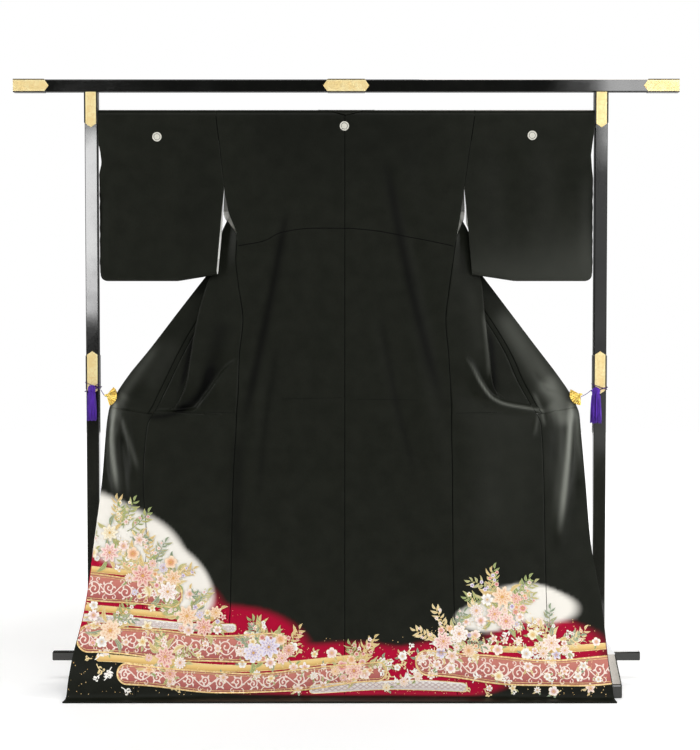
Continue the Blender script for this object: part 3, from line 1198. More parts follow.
def tone_mix(a, b, t):
    return tuple(p * (1 - t) + q * t for p, q in zip(a, b))


def petal_reach(kind, size, count):
    turn = np.linspace(0, TURN, count, endpoint=False)
    lobes, least, power = {"plum": (2.5, 0.72, 0.6), "cherry": (2.5, 0.50, 0.55), "star": (2.5, 0.46, 1.6),
                           "daisy": (6, 0.60, 0.8), "dahlia": (4, 0.54, 1.2), "peony": (3.5, 0.66, 0.7)}[kind]
    wave = np.abs(np.cos(lobes * turn))
    notch = {"cherry": 0.20, "peony": 0.07}.get(kind, 0.0) * wave ** 30
    return size * (least + (1 - least) * wave**power - notch)


# Deep, middle and pale tones of a blossom, and dark and pale tones of a leaf.
TONES = [
    (srgb(206, 104, 110), srgb(238, 186, 182), srgb(252, 234, 226)),
    (srgb(192, 88, 94), srgb(228, 158, 150), srgb(250, 222, 210)),
    (srgb(222, 168, 156), srgb(244, 220, 210), srgb(253, 244, 236)),
    (srgb(224, 190, 118), srgb(246, 232, 198), srgb(252, 247, 232)),
    (srgb(160, 138, 184), srgb(216, 204, 228), srgb(242, 238, 246)),
    (srgb(220, 142, 96), srgb(242, 200, 160), srgb(252, 232, 210)),
    (srgb(206, 198, 196), srgb(244, 240, 234), srgb(254, 252, 248)),
    (srgb(214, 150, 146), srgb(248, 232, 226), srgb(254, 250, 246)),
]
GREENS = [(srgb(124, 140, 78), srgb(186, 196, 132)), (srgb(160, 158, 96), srgb(216, 212, 158)),
          (srgb(110, 128, 98), srgb(176, 190, 160)), (srgb(196, 160, 92), srgb(240, 220, 164)),
          (srgb(212, 180, 112), srgb(246, 232, 188))]
WHITE, YOLK = srgb(250, 246, 238), srgb(224, 176, 84)


def flower(x, s, size, kind, tones, angle):
    """A blossom with a shaded face, lines between its petals, a gold outline and gold stamens."""
    petals = {"daisy": 12, "dahlia": 8, "peony": 7}.get(kind, 5)
    deep, middle, pale = tones
    layers = {"peony": (1.0, 0.74, 0.48), "dahlia": (1.0, 0.68, 0.40), "daisy": (1.0, 0.62)}.get(kind, (1.0,))
    for layer, share in enumerate(layers if size > 0.010 else (1.0,)):
        reach = petal_reach(kind, size * share, 6 * petals)
        turn = angle + layer * math.pi / petals
        rings(x, s, reach, [(0.05, deep), (0.28, deep), (0.58, middle), (0.97, pale)], next_lift(), turn)
        if size * share > 0.0075:
            edge = 0.97 + 0.0009 / (size * share)
            rings(x, s, reach, [(0.97, GOLD_LOOK), (edge, GOLD_LOOK)], next_lift(), turn)
            out = np.array([0.30, 0.52, 0.74]) * size * share
            for i in range(petals):
                way = turn + (i + (0.5 if petals == 5 else 0.0)) * 2 * math.pi / petals
                ribbon(around(x, s, out, way), np.array([0.0010, 0.0008, 0.0004]), next_lift(0.000003), deep)
    for i in range(10 if size > 0.009 else 0):
        out = np.array([0.08, 0.20, 0.30 + 0.06 * (i % 2)]) * size
        ribbon(around(x, s, out, angle + (i + 0.3) * math.pi / 5), np.array([0.0005, 0.0006, 0.0011]),
               next_lift(0.000003), GOLD_LOOK)
    heart = [(0.05, YOLK), (0.6, YOLK), (1.0, tone_mix(YOLK, deep, 0.5))]
    rings(x, s, np.full(10, size * 0.13), heart, next_lift())


def leaf(x, s, length, width, angle, tones, bend=0.15):
    """A pointed leaf with a pale edge and a gold vein."""
    t = np.linspace(0.0, 1.0, 8)
    along, off = t * length, bend * length * np.sin(np.pi * t)
    across = (width / 2 * np.sin(np.pi * t ** 0.8) + 0.0002) * np.array([1, 0.0, -1])[:, None]
    dark, pale = tones
    BRUSH.grid(*spun(x, s, along + 0 * across, off + across, angle), next_lift(), [pale, dark, pale])
    if length > 0.02:
        ribbon(np.column_stack(spun(x, s, along, off, angle)), 0.0008, next_lift(0.000005), GOLD_LOOK)


def stem(x, s, length, angle, curl, colour, width=0.0018, count=14):
    """A curved stem; returns its points and headings."""
    heading = angle + curl * np.linspace(0, 1, count)
    path = walk(x, s, heading, length / (count - 1))
    ribbon(path, np.linspace(width, width * 0.5, count), next_lift(), colour)
    return path, heading


def spray(x, s, length, angle, tones, greens):
    """A stem with leaves to both sides and small blossoms or buds near its tip."""
    path, heading = stem(x, s, length, angle, RANDOM.uniform(-0.9, 0.9), greens[0])
    for i in range(2, len(path) - 1):
        side = 1 if i % 2 else -1
        leaf(*path[i], RANDOM.uniform(0.014, 0.026), RANDOM.uniform(0.0045, 0.0075),
             heading[i] + side * RANDOM.uniform(0.6, 1.1), greens, 0.1 * side)
    for i in range(5, len(path), 3):
        side = RANDOM.choice((-1, 1))
        turn = heading[i] + side * 1.2
        reach = RANDOM.uniform(0.006, 0.012)
        flower(path[i][0] + reach * math.cos(turn), path[i][1] + reach * math.sin(turn),
               RANDOM.uniform(0.0045, 0.007), RANDOM.choice(("plum", "star")), tones, RANDOM.uniform(0, 6))
    leaf(*path[-1], 0.018, 0.006, heading[-1], greens)


def tendril(x, s, size, angle, side):
    """The two lines of a curling tendril: one that ends in a spiral, and a smaller one branching from it."""
    t = np.linspace(0, 1, 26)
    heading = angle + side * (0.6 * t + 5.6 * t ** 3)
    path = walk(x, s, heading, size * (1.25 - t) / 19)
    t = t[:14] / t[13]
    return path, walk(*path[8], heading[8] - side * (0.7 + 4.8 * t ** 2), size * 0.032 * (1.3 - t))


def scroll(x, s, size, angle, colour, side):
    path, branch = tendril(x, s, size, angle, side)
    ribbon(path, np.linspace(0.0027, 0.0014, len(path)), next_lift(), colour)
    ribbon(branch, np.linspace(0.0023, 0.0012, len(branch)), next_lift(), colour)
    dot(*path[-1], 0.0021, colour, next_lift())
    for at, lean in ((4, 0.9), (7, -0.9), (11, -0.8)):
        leaf(*path[at], 0.28 * size, 0.11 * size, angle + side * lean, (colour, colour))


# Bars of mist, each with its ends, mid height, half height, lean, colour and filling.
MISTS = table("start end s half lean tone fill", [
    (-0.80, -0.545, 0.418, 0.008, -0.05, "gold", "none"),
    (-0.80, -0.450, 0.366, 0.034, -0.04, "rose", "scrolls"),
    (-0.80, -0.360, 0.306, 0.008, -0.03, "gold", "none"),
    (-0.80, -0.300, 0.276, 0.011, -0.02, "white", "rings"),
    (-0.735, -0.170, 0.216, 0.036, -0.01, "rose", "scrolls"),
    (-0.68, 0.060, 0.162, 0.009, 0.00, "gold", "none"),
    (-0.62, 0.110, 0.122, 0.026, 0.00, "rose", "scrolls"),
    (-0.10, 0.330, 0.092, 0.012, 0.00, "white", "lattice"),
    (0.190, 0.80, 0.150, 0.034, 0.00, "rose", "scrolls"),
    (0.330, 0.80, 0.206, 0.008, 0.01, "gold", "none"),
])
# The tones of a bar from its top down, and the colour of its filling.
MIST_TONES = {
    "rose": (srgb(202, 124, 108), srgb(186, 102, 92), srgb(164, 78, 76)),
    "gold": (srgb(244, 216, 150), srgb(232, 194, 116), srgb(206, 162, 88)),
    "white": (srgb(244, 240, 234), srgb(232, 224, 218), srgb(214, 204, 200)),
}
FILL_TONES = {"rose": srgb(246, 228, 216), "white": srgb(190, 166, 164)}


def mist_line(mist, x):
    length = mist.end - mist.start
    return mist.s + mist.lean * (x - mist.start) + 0.016 * np.sin(7.5 * x + 4 * mist.s) * min(1, 1.4 * length)


def mist_half(mist, x):
    """Half the bar's height at x: rounded at its ends, a little uneven between them."""
    near = np.clip(1 - np.minimum(x - mist.start, mist.end - x) / mist.half, 0, 1)
    return mist.half * np.sqrt(1 - near**2) * (1 + 0.06 * np.sin(23 * x + 31 * mist.s))


def inside_mist(mist, x, s, margin=0.003):
    return (x > mist.start) & (x < mist.end) & (np.abs(s - mist_line(mist, x)) < mist_half(mist, x) - margin)


def lines_inside(mist, path, width, lift, colour):
    """Draws the stretches of a path that lie inside a bar of mist."""
    start = None
    for i, good in enumerate([*inside_mist(mist, path[:, 0], path[:, 1]), False]):
        if good and start is None:
            start = i
        elif not good and start is not None:
            if i - start > 1:
                ribbon(path[start:i], width, lift, colour)
            start = None


def draw_vine(mist, lift, colour):
    """A waving stem with a spiral in each hollow and a small curl and leaves outside it."""
    half_wave = 0.043
    waves = max(1, int((mist.end - mist.start) / half_wave))
    x = np.linspace(mist.start, mist.start + waves * half_wave, 12 * waves + 1)
    swing = 0.46 * mist.half
    wave = np.column_stack([x, mist_line(mist, x) + swing * np.sin(np.pi * (x - mist.start) / half_wave)])
    lines_inside(mist, wave, 0.0030, lift, colour)
    for k in range(waves):
        way = 1 if k % 2 == 0 else -1
        x = mist.start + (k + 0.5) * half_wave + RANDOM.uniform(-0.002, 0.002)
        crest = float(mist_line(mist, x)) + way * swing
        reach = 0.56 * mist.half * RANDOM.uniform(0.92, 1.08)
        hand = RANDOM.choice((-1, 1))
        t = np.linspace(0, 1, 30)
        middle = crest - way * reach
        spiral = around(x, middle, reach * (1 - 0.80 * t ** 0.85), way * math.pi / 2 + hand * 8.6 * t)
        lines_inside(mist, spiral, 0.0029, lift + 0.00001, colour)
        if inside_mist(mist, *spiral[-1]):
            dot(*spiral[-1], 0.0028, colour, lift + 0.00002, 8)
        for shift, size in ((0.011, 0.0082), (-0.012, 0.0066)):
            turn = -way * math.pi / 2 - hand * math.copysign(5.6, shift) * t
            curl = around(x + hand * shift, crest + way * 1.05 * size, size * (1 - 0.72 * t), turn)
            lines_inside(mist, curl, 0.0023, lift + 0.00001, colour)
        for px, ps in spiral[3:20:4]:
            if inside_mist(mist, px, ps, 0.007):
                heading = math.atan2(ps - middle, px - x) + hand * 0.8
                leaf(px, ps, 0.0105, 0.0046, heading, (colour, colour))


def fill_mist(mist):
    """Scrolls in the rose bars, a net of rings or a lattice in the white ones."""
    low, high = mist.s - mist.half - 0.02, mist.s + mist.half + 0.02
    length = mist.end - mist.start
    colour, lift = FILL_TONES.get(mist.tone), next_lift(0.00015)
    if mist.fill == "scrolls":
        draw_vine(mist, lift, colour)
    elif mist.fill == "rings":
        radius, turn = 0.0125, np.linspace(0, TURN, 25)
        step = radius * math.sqrt(2) / 2
        for row in range(int((high - low) / step) + 1):
            for i in range(int(length / (2 * step)) + 2):
                ring = around(mist.start + (2 * i + row % 2) * step, low + row * step, radius, turn)
                lines_inside(mist, ring, 0.0009, lift, colour)
    elif mist.fill == "lattice":
        pitch, t = 0.017, np.linspace(0, 1, 24)
        for slope in (-1, 1):
            for i in range(int((length + 0.2) / pitch) + 1):
                x = mist.start - 0.1 + i * pitch
                for shift, width in ((0, 0.0013), (0.0032, 0.0007)):
                    across = x + shift + slope * (t - 0.5) * (high - low) * 1.7
                    lines_inside(mist, np.column_stack([across, low + t * (high - low)]), width, lift, colour)


def draw_mist(mist):
    """A bar of mist shaded from top to bottom, its filling, and its double gold edge."""
    count = max(12, int((mist.end - mist.start) / 0.005))
    ends = (1 - np.cos(np.linspace(0, np.pi, 9)))[1:5] / 2 * 0.02
    x = np.linspace(mist.start + 0.001, mist.end - 0.001, count)
    x = np.unique(np.concatenate([mist.start + ends * 0.3, x]))
    line_s, half = mist_line(mist, x), mist_half(mist, x)
    share = np.linspace(1, -1, 11)[:, None]
    top, middle, low = MIST_TONES[mist.tone]
    tones = [tone_mix(top, middle, t) for t in (0, 0.2, 0.4, 0.6, 0.8)] + [
        tone_mix(middle, low, t) for t in (0, 0.2, 0.4, 0.6, 0.8, 1)]
    BRUSH.grid(x + 0 * share, line_s + half * share, next_lift(0.00005), tones)
    fill_mist(mist)
    for inset, width in ((0.0, 0.0042), (0.0062, 0.0012)) if mist.tone == "rose" else ((0.0, 0.0016),):
        keep = half > inset + 0.002
        over, under = (np.column_stack([x, s])[keep] for s in (line_s + half - inset, line_s - half + inset))
        ribbon(np.vstack([over, under[::-1], over[:1]]), width, next_lift(), GOLD_LOOK)


# Groups of flowers: place, spread, and how many large, middling and small flowers and sprays.
BOUQUETS = table("x s spread_x spread_s large medium small sprays", [
    (-0.640, 0.492, 0.055, 0.046, 2, 4, 4, 6),
    (-0.520, 0.390, 0.060, 0.046, 3, 5, 5, 6),
    (-0.400, 0.272, 0.050, 0.032, 2, 4, 5, 5),
    (-0.670, 0.252, 0.030, 0.036, 1, 2, 3, 2),
    (-0.500, 0.160, 0.036, 0.024, 1, 3, 3, 3),
    (-0.215, 0.196, 0.045, 0.028, 2, 4, 4, 5),
    (0.020, 0.140, 0.040, 0.022, 1, 3, 4, 4),
    (0.290, 0.216, 0.040, 0.030, 2, 3, 4, 4),
    (0.420, 0.306, 0.052, 0.040, 3, 5, 6, 7),
    (0.560, 0.200, 0.036, 0.026, 1, 3, 4, 4),
])


def place_flowers(bouquet):
    """Scatters a group's flowers so that the larger ones keep clear of one another."""
    placed = []
    sizes = ([(0.024, 0.034, "peony")] * bouquet.large + [(0.013, 0.020, None)] * bouquet.medium
             + [(0.0075, 0.0115, None)] * bouquet.small)
    for low, high, kind in sizes:
        size = RANDOM.uniform(low, high)
        spread, room = (1.0, 0.66) if kind else (1.35, 0.74)
        for _ in range(60):
            turn, out = RANDOM.uniform(0, TURN), math.sqrt(RANDOM.random()) * spread
            x = bouquet.x + bouquet.spread_x * out * math.cos(turn)
            s = bouquet.s + bouquet.spread_s * out * math.sin(turn)
            if s >= GROUP_LOW + size and all(math.hypot(x - px, s - ps) > room * (size + other)
                                         for px, ps, other, _ in placed):
                break
        else:
            continue
        if kind == "peony" and RANDOM.random() < 0.5:
            kind = "dahlia"
        placed.append((x, s, size, kind or RANDOM.choice(("plum", "cherry", "star", "dahlia", "daisy"))))
    return placed


def draw_bouquet(bouquet):
    placed = place_flowers(bouquet)
    for _ in range(bouquet.sprays):
        turn = RANDOM.uniform(0.25, 2.9)
        x = bouquet.x + 0.75 * bouquet.spread_x * math.cos(turn)
        s = bouquet.s + 0.75 * bouquet.spread_s * math.sin(turn)
        start_lift(SPRAYS)
        spray(x, s, RANDOM.uniform(0.045, 0.085), turn + RANDOM.uniform(-0.4, 0.4), RANDOM.choice(TONES),
              RANDOM.choice(GREENS))
    for x, s, size, _ in placed:
        for _ in range(6 if size > 0.02 else 3 if size > 0.012 else 0):
            turn = RANDOM.uniform(0, TURN)
            start_lift(LEAVES)
            leaf(*around(x, s, 0.75 * size, turn)[0], RANDOM.uniform(1.0, 1.6) * size,
                 RANDOM.uniform(0.30, 0.46) * size, turn + RANDOM.uniform(-0.4, 0.4), RANDOM.choice(GREENS))
    for i, (x, s, size, kind) in enumerate(sorted(placed, key=lambda flower_at: flower_at[2])):
        start_lift(BLOSSOMS + 0.00005 * i)
        flower(x, s, size, kind, RANDOM.choice(TONES), RANDOM.uniform(0, TURN))


def design_top(x):
    """How high the design reaches at x."""
    return np.interp(x, [-0.78, -0.66, -0.52, -0.40, -0.28, -0.10, 0.10, 0.25, 0.36, 0.45, 0.54, 0.64, 0.78],
                     [0.58, 0.57, 0.47, 0.35, 0.26, 0.20, 0.19, 0.24, 0.32, 0.36, 0.28, 0.24, 0.23])


def draw_scrolls():
    for _ in range(330):
        x = RANDOM.uniform(-0.71, 0.60)
        s = RANDOM.uniform(LOOSE_LOW, float(design_top(x)) * 0.92)
        if any(inside_mist(mist, x, s, -0.004) for mist in MISTS):
            continue
        start_lift(SCROLLS)
        colour = RANDOM.choice((WHITE, WHITE, WHITE, srgb(236, 212, 156)))
        size, turn = RANDOM.uniform(0.026, 0.044), RANDOM.uniform(0, TURN)
        scroll(x, s, size, turn, colour, RANDOM.choice((-1, 1)))


def draw_scattered():
    """Pale blossoms strewn over the bars, clear of one another, each with a leaf or two."""
    placed = []
    for _ in range(150):
        x, size = RANDOM.uniform(-0.73, 0.69), RANDOM.uniform(0.009, 0.0165)
        s = RANDOM.uniform(LOOSE_LOW, float(design_top(x)) * 0.95)
        if any(math.hypot(x - px, s - ps) < 0.030 for px, ps in placed):
            continue
        placed.append((x, s))
        start_lift(LOOSE)
        turn = RANDOM.uniform(0, TURN)
        for lean in (0, RANDOM.uniform(0.7, 1.4)):
            leaf(*around(x, s, 0.7 * size, turn + lean)[0], 1.1 * size, 0.4 * size, turn + lean,
                 RANDOM.choice(GREENS))
        kind = RANDOM.choice(("plum", "cherry", "star", "dahlia"))
        flower(x, s, size, kind, RANDOM.choice(TONES[2:4] + TONES[6:]), RANDOM.uniform(0, 6))


def draw_dust():
    """Flecks of gold leaf, thickest low down and thinning out above the design."""
    for _ in range(900):
        x = RANDOM.uniform(-0.75, 0.71)
        s = DUST_LOW + (float(design_top(x)) + 0.03 - DUST_LOW) * RANDOM.random() ** 1.2
        size, turn = RANDOM.uniform(0.0007, 0.0017), RANDOM.uniform(0, 3)
        c, d = size * math.cos(turn), size * math.sin(turn)
        BRUSH.grid(np.array([[x + c, x - d], [x + d, x - c]]), np.array([[s + d, s + c], [s - c, s - d]]),
                   next_lift(0.0), GOLD_LOOK)


def draw_hem():
    for i, mist in enumerate(MISTS):
        start_lift(SECOND_BARS * (i % 2))
        draw_mist(mist)
    draw_scrolls()
    start_lift(DUST)
    draw_dust()
    draw_scattered()
    for bouquet in BOUQUETS:
        draw_bouquet(bouquet)
    BRUSH.flush()


draw_hem()


# Roundels, seams and storage creases

def on_back(x, z):
    """How far forward the upper back lies at distances across x and heights z."""
    return upper_back(x[:, None], upper_rows(z))[:, 0] + crease_relief("main", x, z)


def on_sleeve(x, z):
    side = "left" if x[0] < 0 else "right"
    away = np.abs(x)
    inner, _ = sleeve_layer(side, 0.0, False, z)
    return sleeve_layer(side, (away - inner) / (SLEEVE_OUTER_X - inner), False, z)[1]


def above_skirt(x, z):
    """How far forward the cloth lies at places just above the skirt's top, beside the back."""
    side = "left" if x[0] < 0 else "right"
    forward = []
    for at_x, at_z in zip(x, z):
        closed = smooth(*np.transpose(CLOSED[side]), [at_z])[0]
        section = front_section(side, at_z, row_at(upper_rows([at_z]), 0), closed)
        upto = 4 * FINE + 1 if closed > 0.05 else len(section)
        forward.append(np.interp(abs(at_x), section[:upto, 0], section[:upto, 1]))
    x, z = x[:, None], z[:, None]
    raised = crease_relief("main", x, z) + crease_relief("front", x, z) + lip_relief(side, x, z)
    return np.array(forward) + raised[:, 0]


def roundel(name, x, z, forward_of):
    """A plain round crest place: a pale disc with a thin dark ring, dyed on the cloth."""
    turn = np.linspace(0, TURN, 48, endpoint=False)
    black, white = (0.02, 0.02, 0.018), srgb(214, 212, 200)
    radii = [0.0003, 0.0078, 0.0081, 0.0090, 0.0093, 0.0126, 0.0130]
    colours = [white, white, black, black, white, white, tone_mix(white, black, 0.5)]
    radius = np.array(radii)[:, None]
    px, pz = (x + radius * np.cos(turn)).ravel(), (z + radius * np.sin(turn)).ravel()
    points = np.column_stack([px, POST_Y - forward_of(px, pz) - CLOTH / 2 - 0.0004, pz])
    mesh = grid_mesh(name, points.reshape(len(radii), -1, 3), ring=True)
    carry(mesh, "paint", np.repeat([(*colour, 1) for colour in colours], len(turn), axis=0))
    link(name, mesh, PAINT)


roundel("roundel_left", -0.526, 1.529, on_sleeve)
roundel("roundel_right", 0.517, 1.533, on_sleeve)
roundel("roundel_centre", -0.005, 1.559, on_back)


# The tuck's seam, as distance across and height.
TUCK = [(-0.300, 1.227), (-0.231, 1.240), (-0.178, 1.265), (-0.087, 1.276), (-0.009, 1.276), (0.071, 1.270),
        (0.177, 1.251), (0.286, 1.229), (0.298, 1.226)]


def tuck_seam():
    """The seam of the tuck across the upper back: a soft lip of cloth over a shallow groove."""
    across, heights = np.transpose(TUCK)
    x = np.linspace(across[0], across[-1], 160)
    z = smooth(across, heights, x)
    profile = ((-0.0024, 0.0), (-0.0008, 0.0004), (0.0, 0.0007), (0.0005, 0.0004), (0.0008, -0.0004))
    rows = []
    for drop, height in profile:
        forward = on_back(x, z + drop) + CLOTH / 2 - 0.0002 + height
        rows.append(np.column_stack([x, POST_Y - forward, z + drop]))
    dark_line("tuck_seam", np.array(rows), CREPE)


tuck_seam()


def groove(name, points, width, look):
    """A narrow dark line along a seam, lying in the hollow between the two turned edges."""
    across = np.array([-width / 2, width / 2])[:, None, None] * np.array([1.0, 0, 0])
    dark_line(name, points[None] + across - np.array([0, LINE_LIFT, 0]), look)


def seam_grooves():
    dark = shadow_material("seam_shadow", (0.0015, 0.0020, 0.0013), 0.9, 0.05)
    for side in SIGN:
        back, sliver = back_panel(side)[:, 0], sliver_points(side)
        waist, armhole = (len(SKIRT_DOWN) + np.searchsorted(TOP_Z, z) for z in (1.25, 1.40))
        for seam, points, width in (
                ("side", back[: waist - 1], 0.0018), ("okumi", okumi_points(side)[:, 0], 0.0016),
                ("sliver", sliver[:, 0], 0.0014), ("lapel", sliver[:, -1] + [0, -0.0002, 0], 0.0016),
                ("sleeve", back[armhole:], 0.0018)):
            groove(f"{seam}_seam_{side}", points, width, dark)
    groove("centre_seam", back_panel("left")[:, -1], 0.0017, dark)


def storage_creases():
    """The short level lines that folding for storage left across the cloth: ends, height, rise and place."""
    faint = shadow_material("storage_crease", (0.0030, 0.0036, 0.0028), 0.8, 0.1)
    for i, (start, end, height, rise, forward_of) in enumerate((
            (-0.178, -0.012, 0.8035, 0.0015, on_back), (-0.440, -0.308, 0.7645, -0.0012, above_skirt),
            (0.305, 0.420, 0.7632, 0.0006, above_skirt), (0.030, 0.200, 0.8000, -0.0010, on_back))):
        x, z = np.linspace(start, end, 50), height + rise * np.linspace(-1, 1, 50)
        over = np.array([0.0005, -0.0005])[:, None]
        dark_line(f"storage_crease_{i + 1}", shell_grid(x, forward_of(x, z) + LINE_LIFT, z + over), faint)


seam_grooves()
storage_creases()


# Clips, tassels and cords

def solid_of(name, parts, look):
    """One object made of parts, each given as its points and faces."""
    points, faces = [], []
    for part_points, part_faces in parts:
        faces += [[i + len(points) for i in face] for face in part_faces]
        points += np.asarray(part_points).tolist()
    return link(name, mesh_of(name, points, faces), look)


def grid_part(points, ring=False):
    return points.reshape(-1, 3), quads(*points.shape[:2], ring).tolist()


def tube_part(path, radius, sides=6, cap=True):
    """A tube along a path, with a radius for each of its points."""
    path = np.asarray(path, float)
    radius = np.broadcast_to(radius, len(path))[:, None, None]
    ahead = np.gradient(path, axis=0)
    ahead /= np.linalg.norm(ahead, axis=1, keepdims=True)
    one = np.cross(ahead, [0.0, 1.0, 0.0] if abs(ahead[0][1]) < 0.9 else [1.0, 0.0, 0.0])
    one /= np.linalg.norm(one, axis=1, keepdims=True)
    two = np.cross(ahead, one)
    turn = np.linspace(0, TURN, sides, endpoint=False)[None, :, None]
    out = np.cos(turn) * one[:, None] + np.sin(turn) * two[:, None]
    points, faces = grid_part(path[:, None] + radius * out, ring=True)
    if cap:
        last = (len(path) - 1) * sides
        faces += [list(range(sides))[::-1], list(range(last, last + sides))]
    return points, faces


# How each side's clip, tassel and cord are set, in metres and degrees.
HOLDERS = dict(zip(SIGN, table("hinge_rise tilt tassel_width tassel_shift tassel_top cord_lean cord_rise", [
    (0.0040, 12, 0.0140, -0.001, 0.0235, -0.008, 0.0315),
    (0.0065, 32, 0.0158, -0.0125, 0.0165, -0.0075, 0.0265),
])))
RIBS, FAN_SPREAD = 9, 120
TASSEL_LENGTH, TASSEL_FLATNESS, HEAD_STRANDS, STRANDS = 0.100, 0.55, 26, 130
# The thickness of a plate on the post, and the radius of the ties and of the crossing cord.
PLATE, TIE, CORD = 0.0016, 0.0015, 0.0012


def fan_clip(side):
    """Two pleated fan jaws on a rivet, gripping the cloth between them."""
    sign, own = SIGN[side], HOLDERS[side]
    edge = one_side(columns_by_height(ACROSS, [CLIP_Z]), side)["edge"][0]
    hinge = np.array([sign * (edge + CLIP_RADIUS * 0.62), POST_Y - CLIP_FORWARD, CLIP_Z])
    hinge += [sign * 0.0045, 0, own.hinge_rise]
    folds = np.linspace(0, RIBS, 4 * RIBS + 1)
    turn = np.radians(180 + FAN_SPREAD * (folds / RIBS - 0.5) + own.tilt)
    pleat = np.abs(folds % 1 - 0.5) * 2 - 0.5
    out = np.linspace(0, 1, 7)[:, None]
    radius = np.linspace(0.003, CLIP_RADIUS, 7)[:, None] * (1 + 0.025 * pleat * (out > 0.9))
    parts = []
    for face in (-1, 1):
        inner, outer = (np.stack(np.broadcast_arrays(
            hinge[0] + sign * radius * np.cos(turn),
            hinge[1] + face * (0.0030 + 0.0007 * out + pleated * (0.0016 + 0.0026 * out * pleat)),
            hinge[2] + radius * np.sin(turn)), axis=2) for pleated in (0, 1))
        rims = [np.stack([inner[rim], outer[rim]], axis=1) for rim in (np.s_[-1], np.s_[:, 0], np.s_[:, -1])]
        parts += [grid_part(grid) for grid in (inner, outer, *rims)]
    rivet = [(-0.0058, 0.0016), (-0.0052, 0.0034), (0.0052, 0.0034), (0.0058, 0.0016)]
    parts.append(tube_part([hinge + [0, y, 0] for y, _ in rivet], [r for _, r in rivet], 16))
    tail = [(0.0005, 0.0030), (0.0045, 0.0026), (0.0057, 0.0012)]
    parts.append(tube_part([hinge + [sign * x, 0, 0] for x, _ in tail], [r for _, r in tail], 10))
    made = solid_of("fan_clip_" + side + "_ribbed", parts, GOLD)
    place = np.array([vertex.co for vertex in made.data.vertices]) - hinge
    reach = np.hypot(place[:, 0], place[:, 2])
    angle = np.degrees(np.arctan2(place[:, 2], sign * place[:, 0])) % 360
    phase = (angle - 180 + FAN_SPREAD / 2 - own.tilt) / FAN_SPREAD * RIBS
    deep = (1 - np.abs(phase % 1 - 0.5) * 2) ** 2 * ease((reach - 0.005) / 0.006)
    carry(made.data, "valley", 0.8 * deep, "FLOAT")
    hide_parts("fan_clip_" + side)


def tassel(side):
    """A silk tassel: wrapped head, bound neck and a skirt of loose strands."""
    sign, own = SIGN[side], HOLDERS[side]
    length, wide, flat = TASSEL_LENGTH, own.tassel_width, TASSEL_FLATNESS
    x = sign * POST_X + own.tassel_shift
    y = POST_Y - (TIE * 2 + POST_SIDE / 2 + PLATE + 0.0003 + 0.56 * wide * flat)
    top = CLIP_Z + own.tassel_top + 0.09 * length
    dice = random.Random(3 + sign)
    parts = []

    def strand(turn, out, reach, drop, sway, radius, sides):
        c, d = out * math.cos(turn), flat * out * math.sin(turn)
        path = [(x + wide * r * c + sway * t, y + wide * r * d + 0.4 * sway * t, top - length * z)
                for r, z, t in zip(reach, drop, (0, 0.1, 0.4, 0.8, 1.0))]
        parts.append(tube_part(path, radius, sides))

    for i in range(HEAD_STRANDS):
        reach, drop = (0.1, 0.46, 0.70, 0.68, 0.62), (-0.002, 0.02, 0.07, 0.115, 0.150)
        strand(TURN * i / HEAD_STRANDS, 1, reach, drop, 0, 0.0011, 5)
    turn = np.linspace(0, TURN, 19)
    for i in range(4):
        height = np.full(len(turn), top - length * (0.135 + 0.014 * i))
        neck = [x + 0.68 * wide * np.cos(turn), y + 0.68 * wide * flat * np.sin(turn), height]
        parts.append(tube_part(np.column_stack(neck), 0.0008, 6, cap=False))
    for i in range(STRANDS):
        turn, out = dice.uniform(0, TURN), math.sqrt(dice.uniform(0.25, 1.0))
        sway = dice.uniform(-0.10, 0.10) * wide
        reach, drop = (0.62, 0.78, 0.88, 0.95, 0.99), (0.17, 0.24, 0.44, 0.72, dice.uniform(0.93, 1.0))
        strand(turn, out, reach, drop, sway, [0.0007, 0.0008, 0.0009, 0.0009, 0.0007], 4)
    made = solid_of("tassel_" + side + "_strands", parts, PURPLE)
    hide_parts("tassel_" + side)


def crossed_cord(side):
    """A turn of cord that crosses the solid one over the plate, with its two ends standing free."""
    own = HOLDERS[side]
    cx, half, low = SIGN[side] * POST_X, POST_SIDE / 2 + PLATE + CORD, CLIP_Z + own.cord_rise
    turn = np.radians(np.arange(0, 360, 15))
    a, b = (np.sign(wave) * np.abs(wave) ** 0.25 for wave in (np.cos(turn), np.sin(turn)))
    loop = np.column_stack([cx + half * a, POST_Y + half * b, low + own.cord_lean * a])
    parts = [tube_part(np.vstack([loop, loop[:1]]), 0.0010, 6, cap=False)]
    front = POST_Y - half - 0.0010
    for dx, dz in ((0.017, 0.010), (0.016, -0.012)):
        stops = ((0, 0, -0.003), (dx * 0.6, -0.002, dz * 0.3), (dx, 0.001, dz))
        path = [(cx - SIGN[side] * (0.006 + out), front + back, low + up) for out, back, up in stops]
        parts.append(tube_part(path, [0.0012, 0.0011, 0.0007], 6))
    solid_of("crossed_cord_" + side, parts, DARK_CORD)


for side_name in SIGN:
    fan_clip(side_name)
    tassel(side_name)
    crossed_cord(side_name)


# Stand finishes

def finish_stand():
    for name, look in (
        ("top_bar", LACQUER), ("lower_rail", LACQUER), ("hanging_rod", LACQUER), ("bar_centre", GILT_BAR),
        *((part + side, look) for side in SIGN for part, look in (
            ("foot_", LACQUER), ("post_", LACQUER), ("bar_end_", GILT_BAR), ("post_top_", GILT_POST),
            ("post_mid_", GILT_POST), ("clip_tie_", PURPLE), ("post_cord_", DARK_CORD))),
    ):
        bpy.data.objects[name].material_slots[0].material = look


finish_stand()


# Camera, light and floor

CAMERA_DISTANCE, CAMERA_HEIGHT, CAMERA_PITCH, CAMERA_X = 5.5, 1.1344, 2.8, 0.0105
FOCAL_PIXELS, FRAME_HEIGHT = 1964, 750


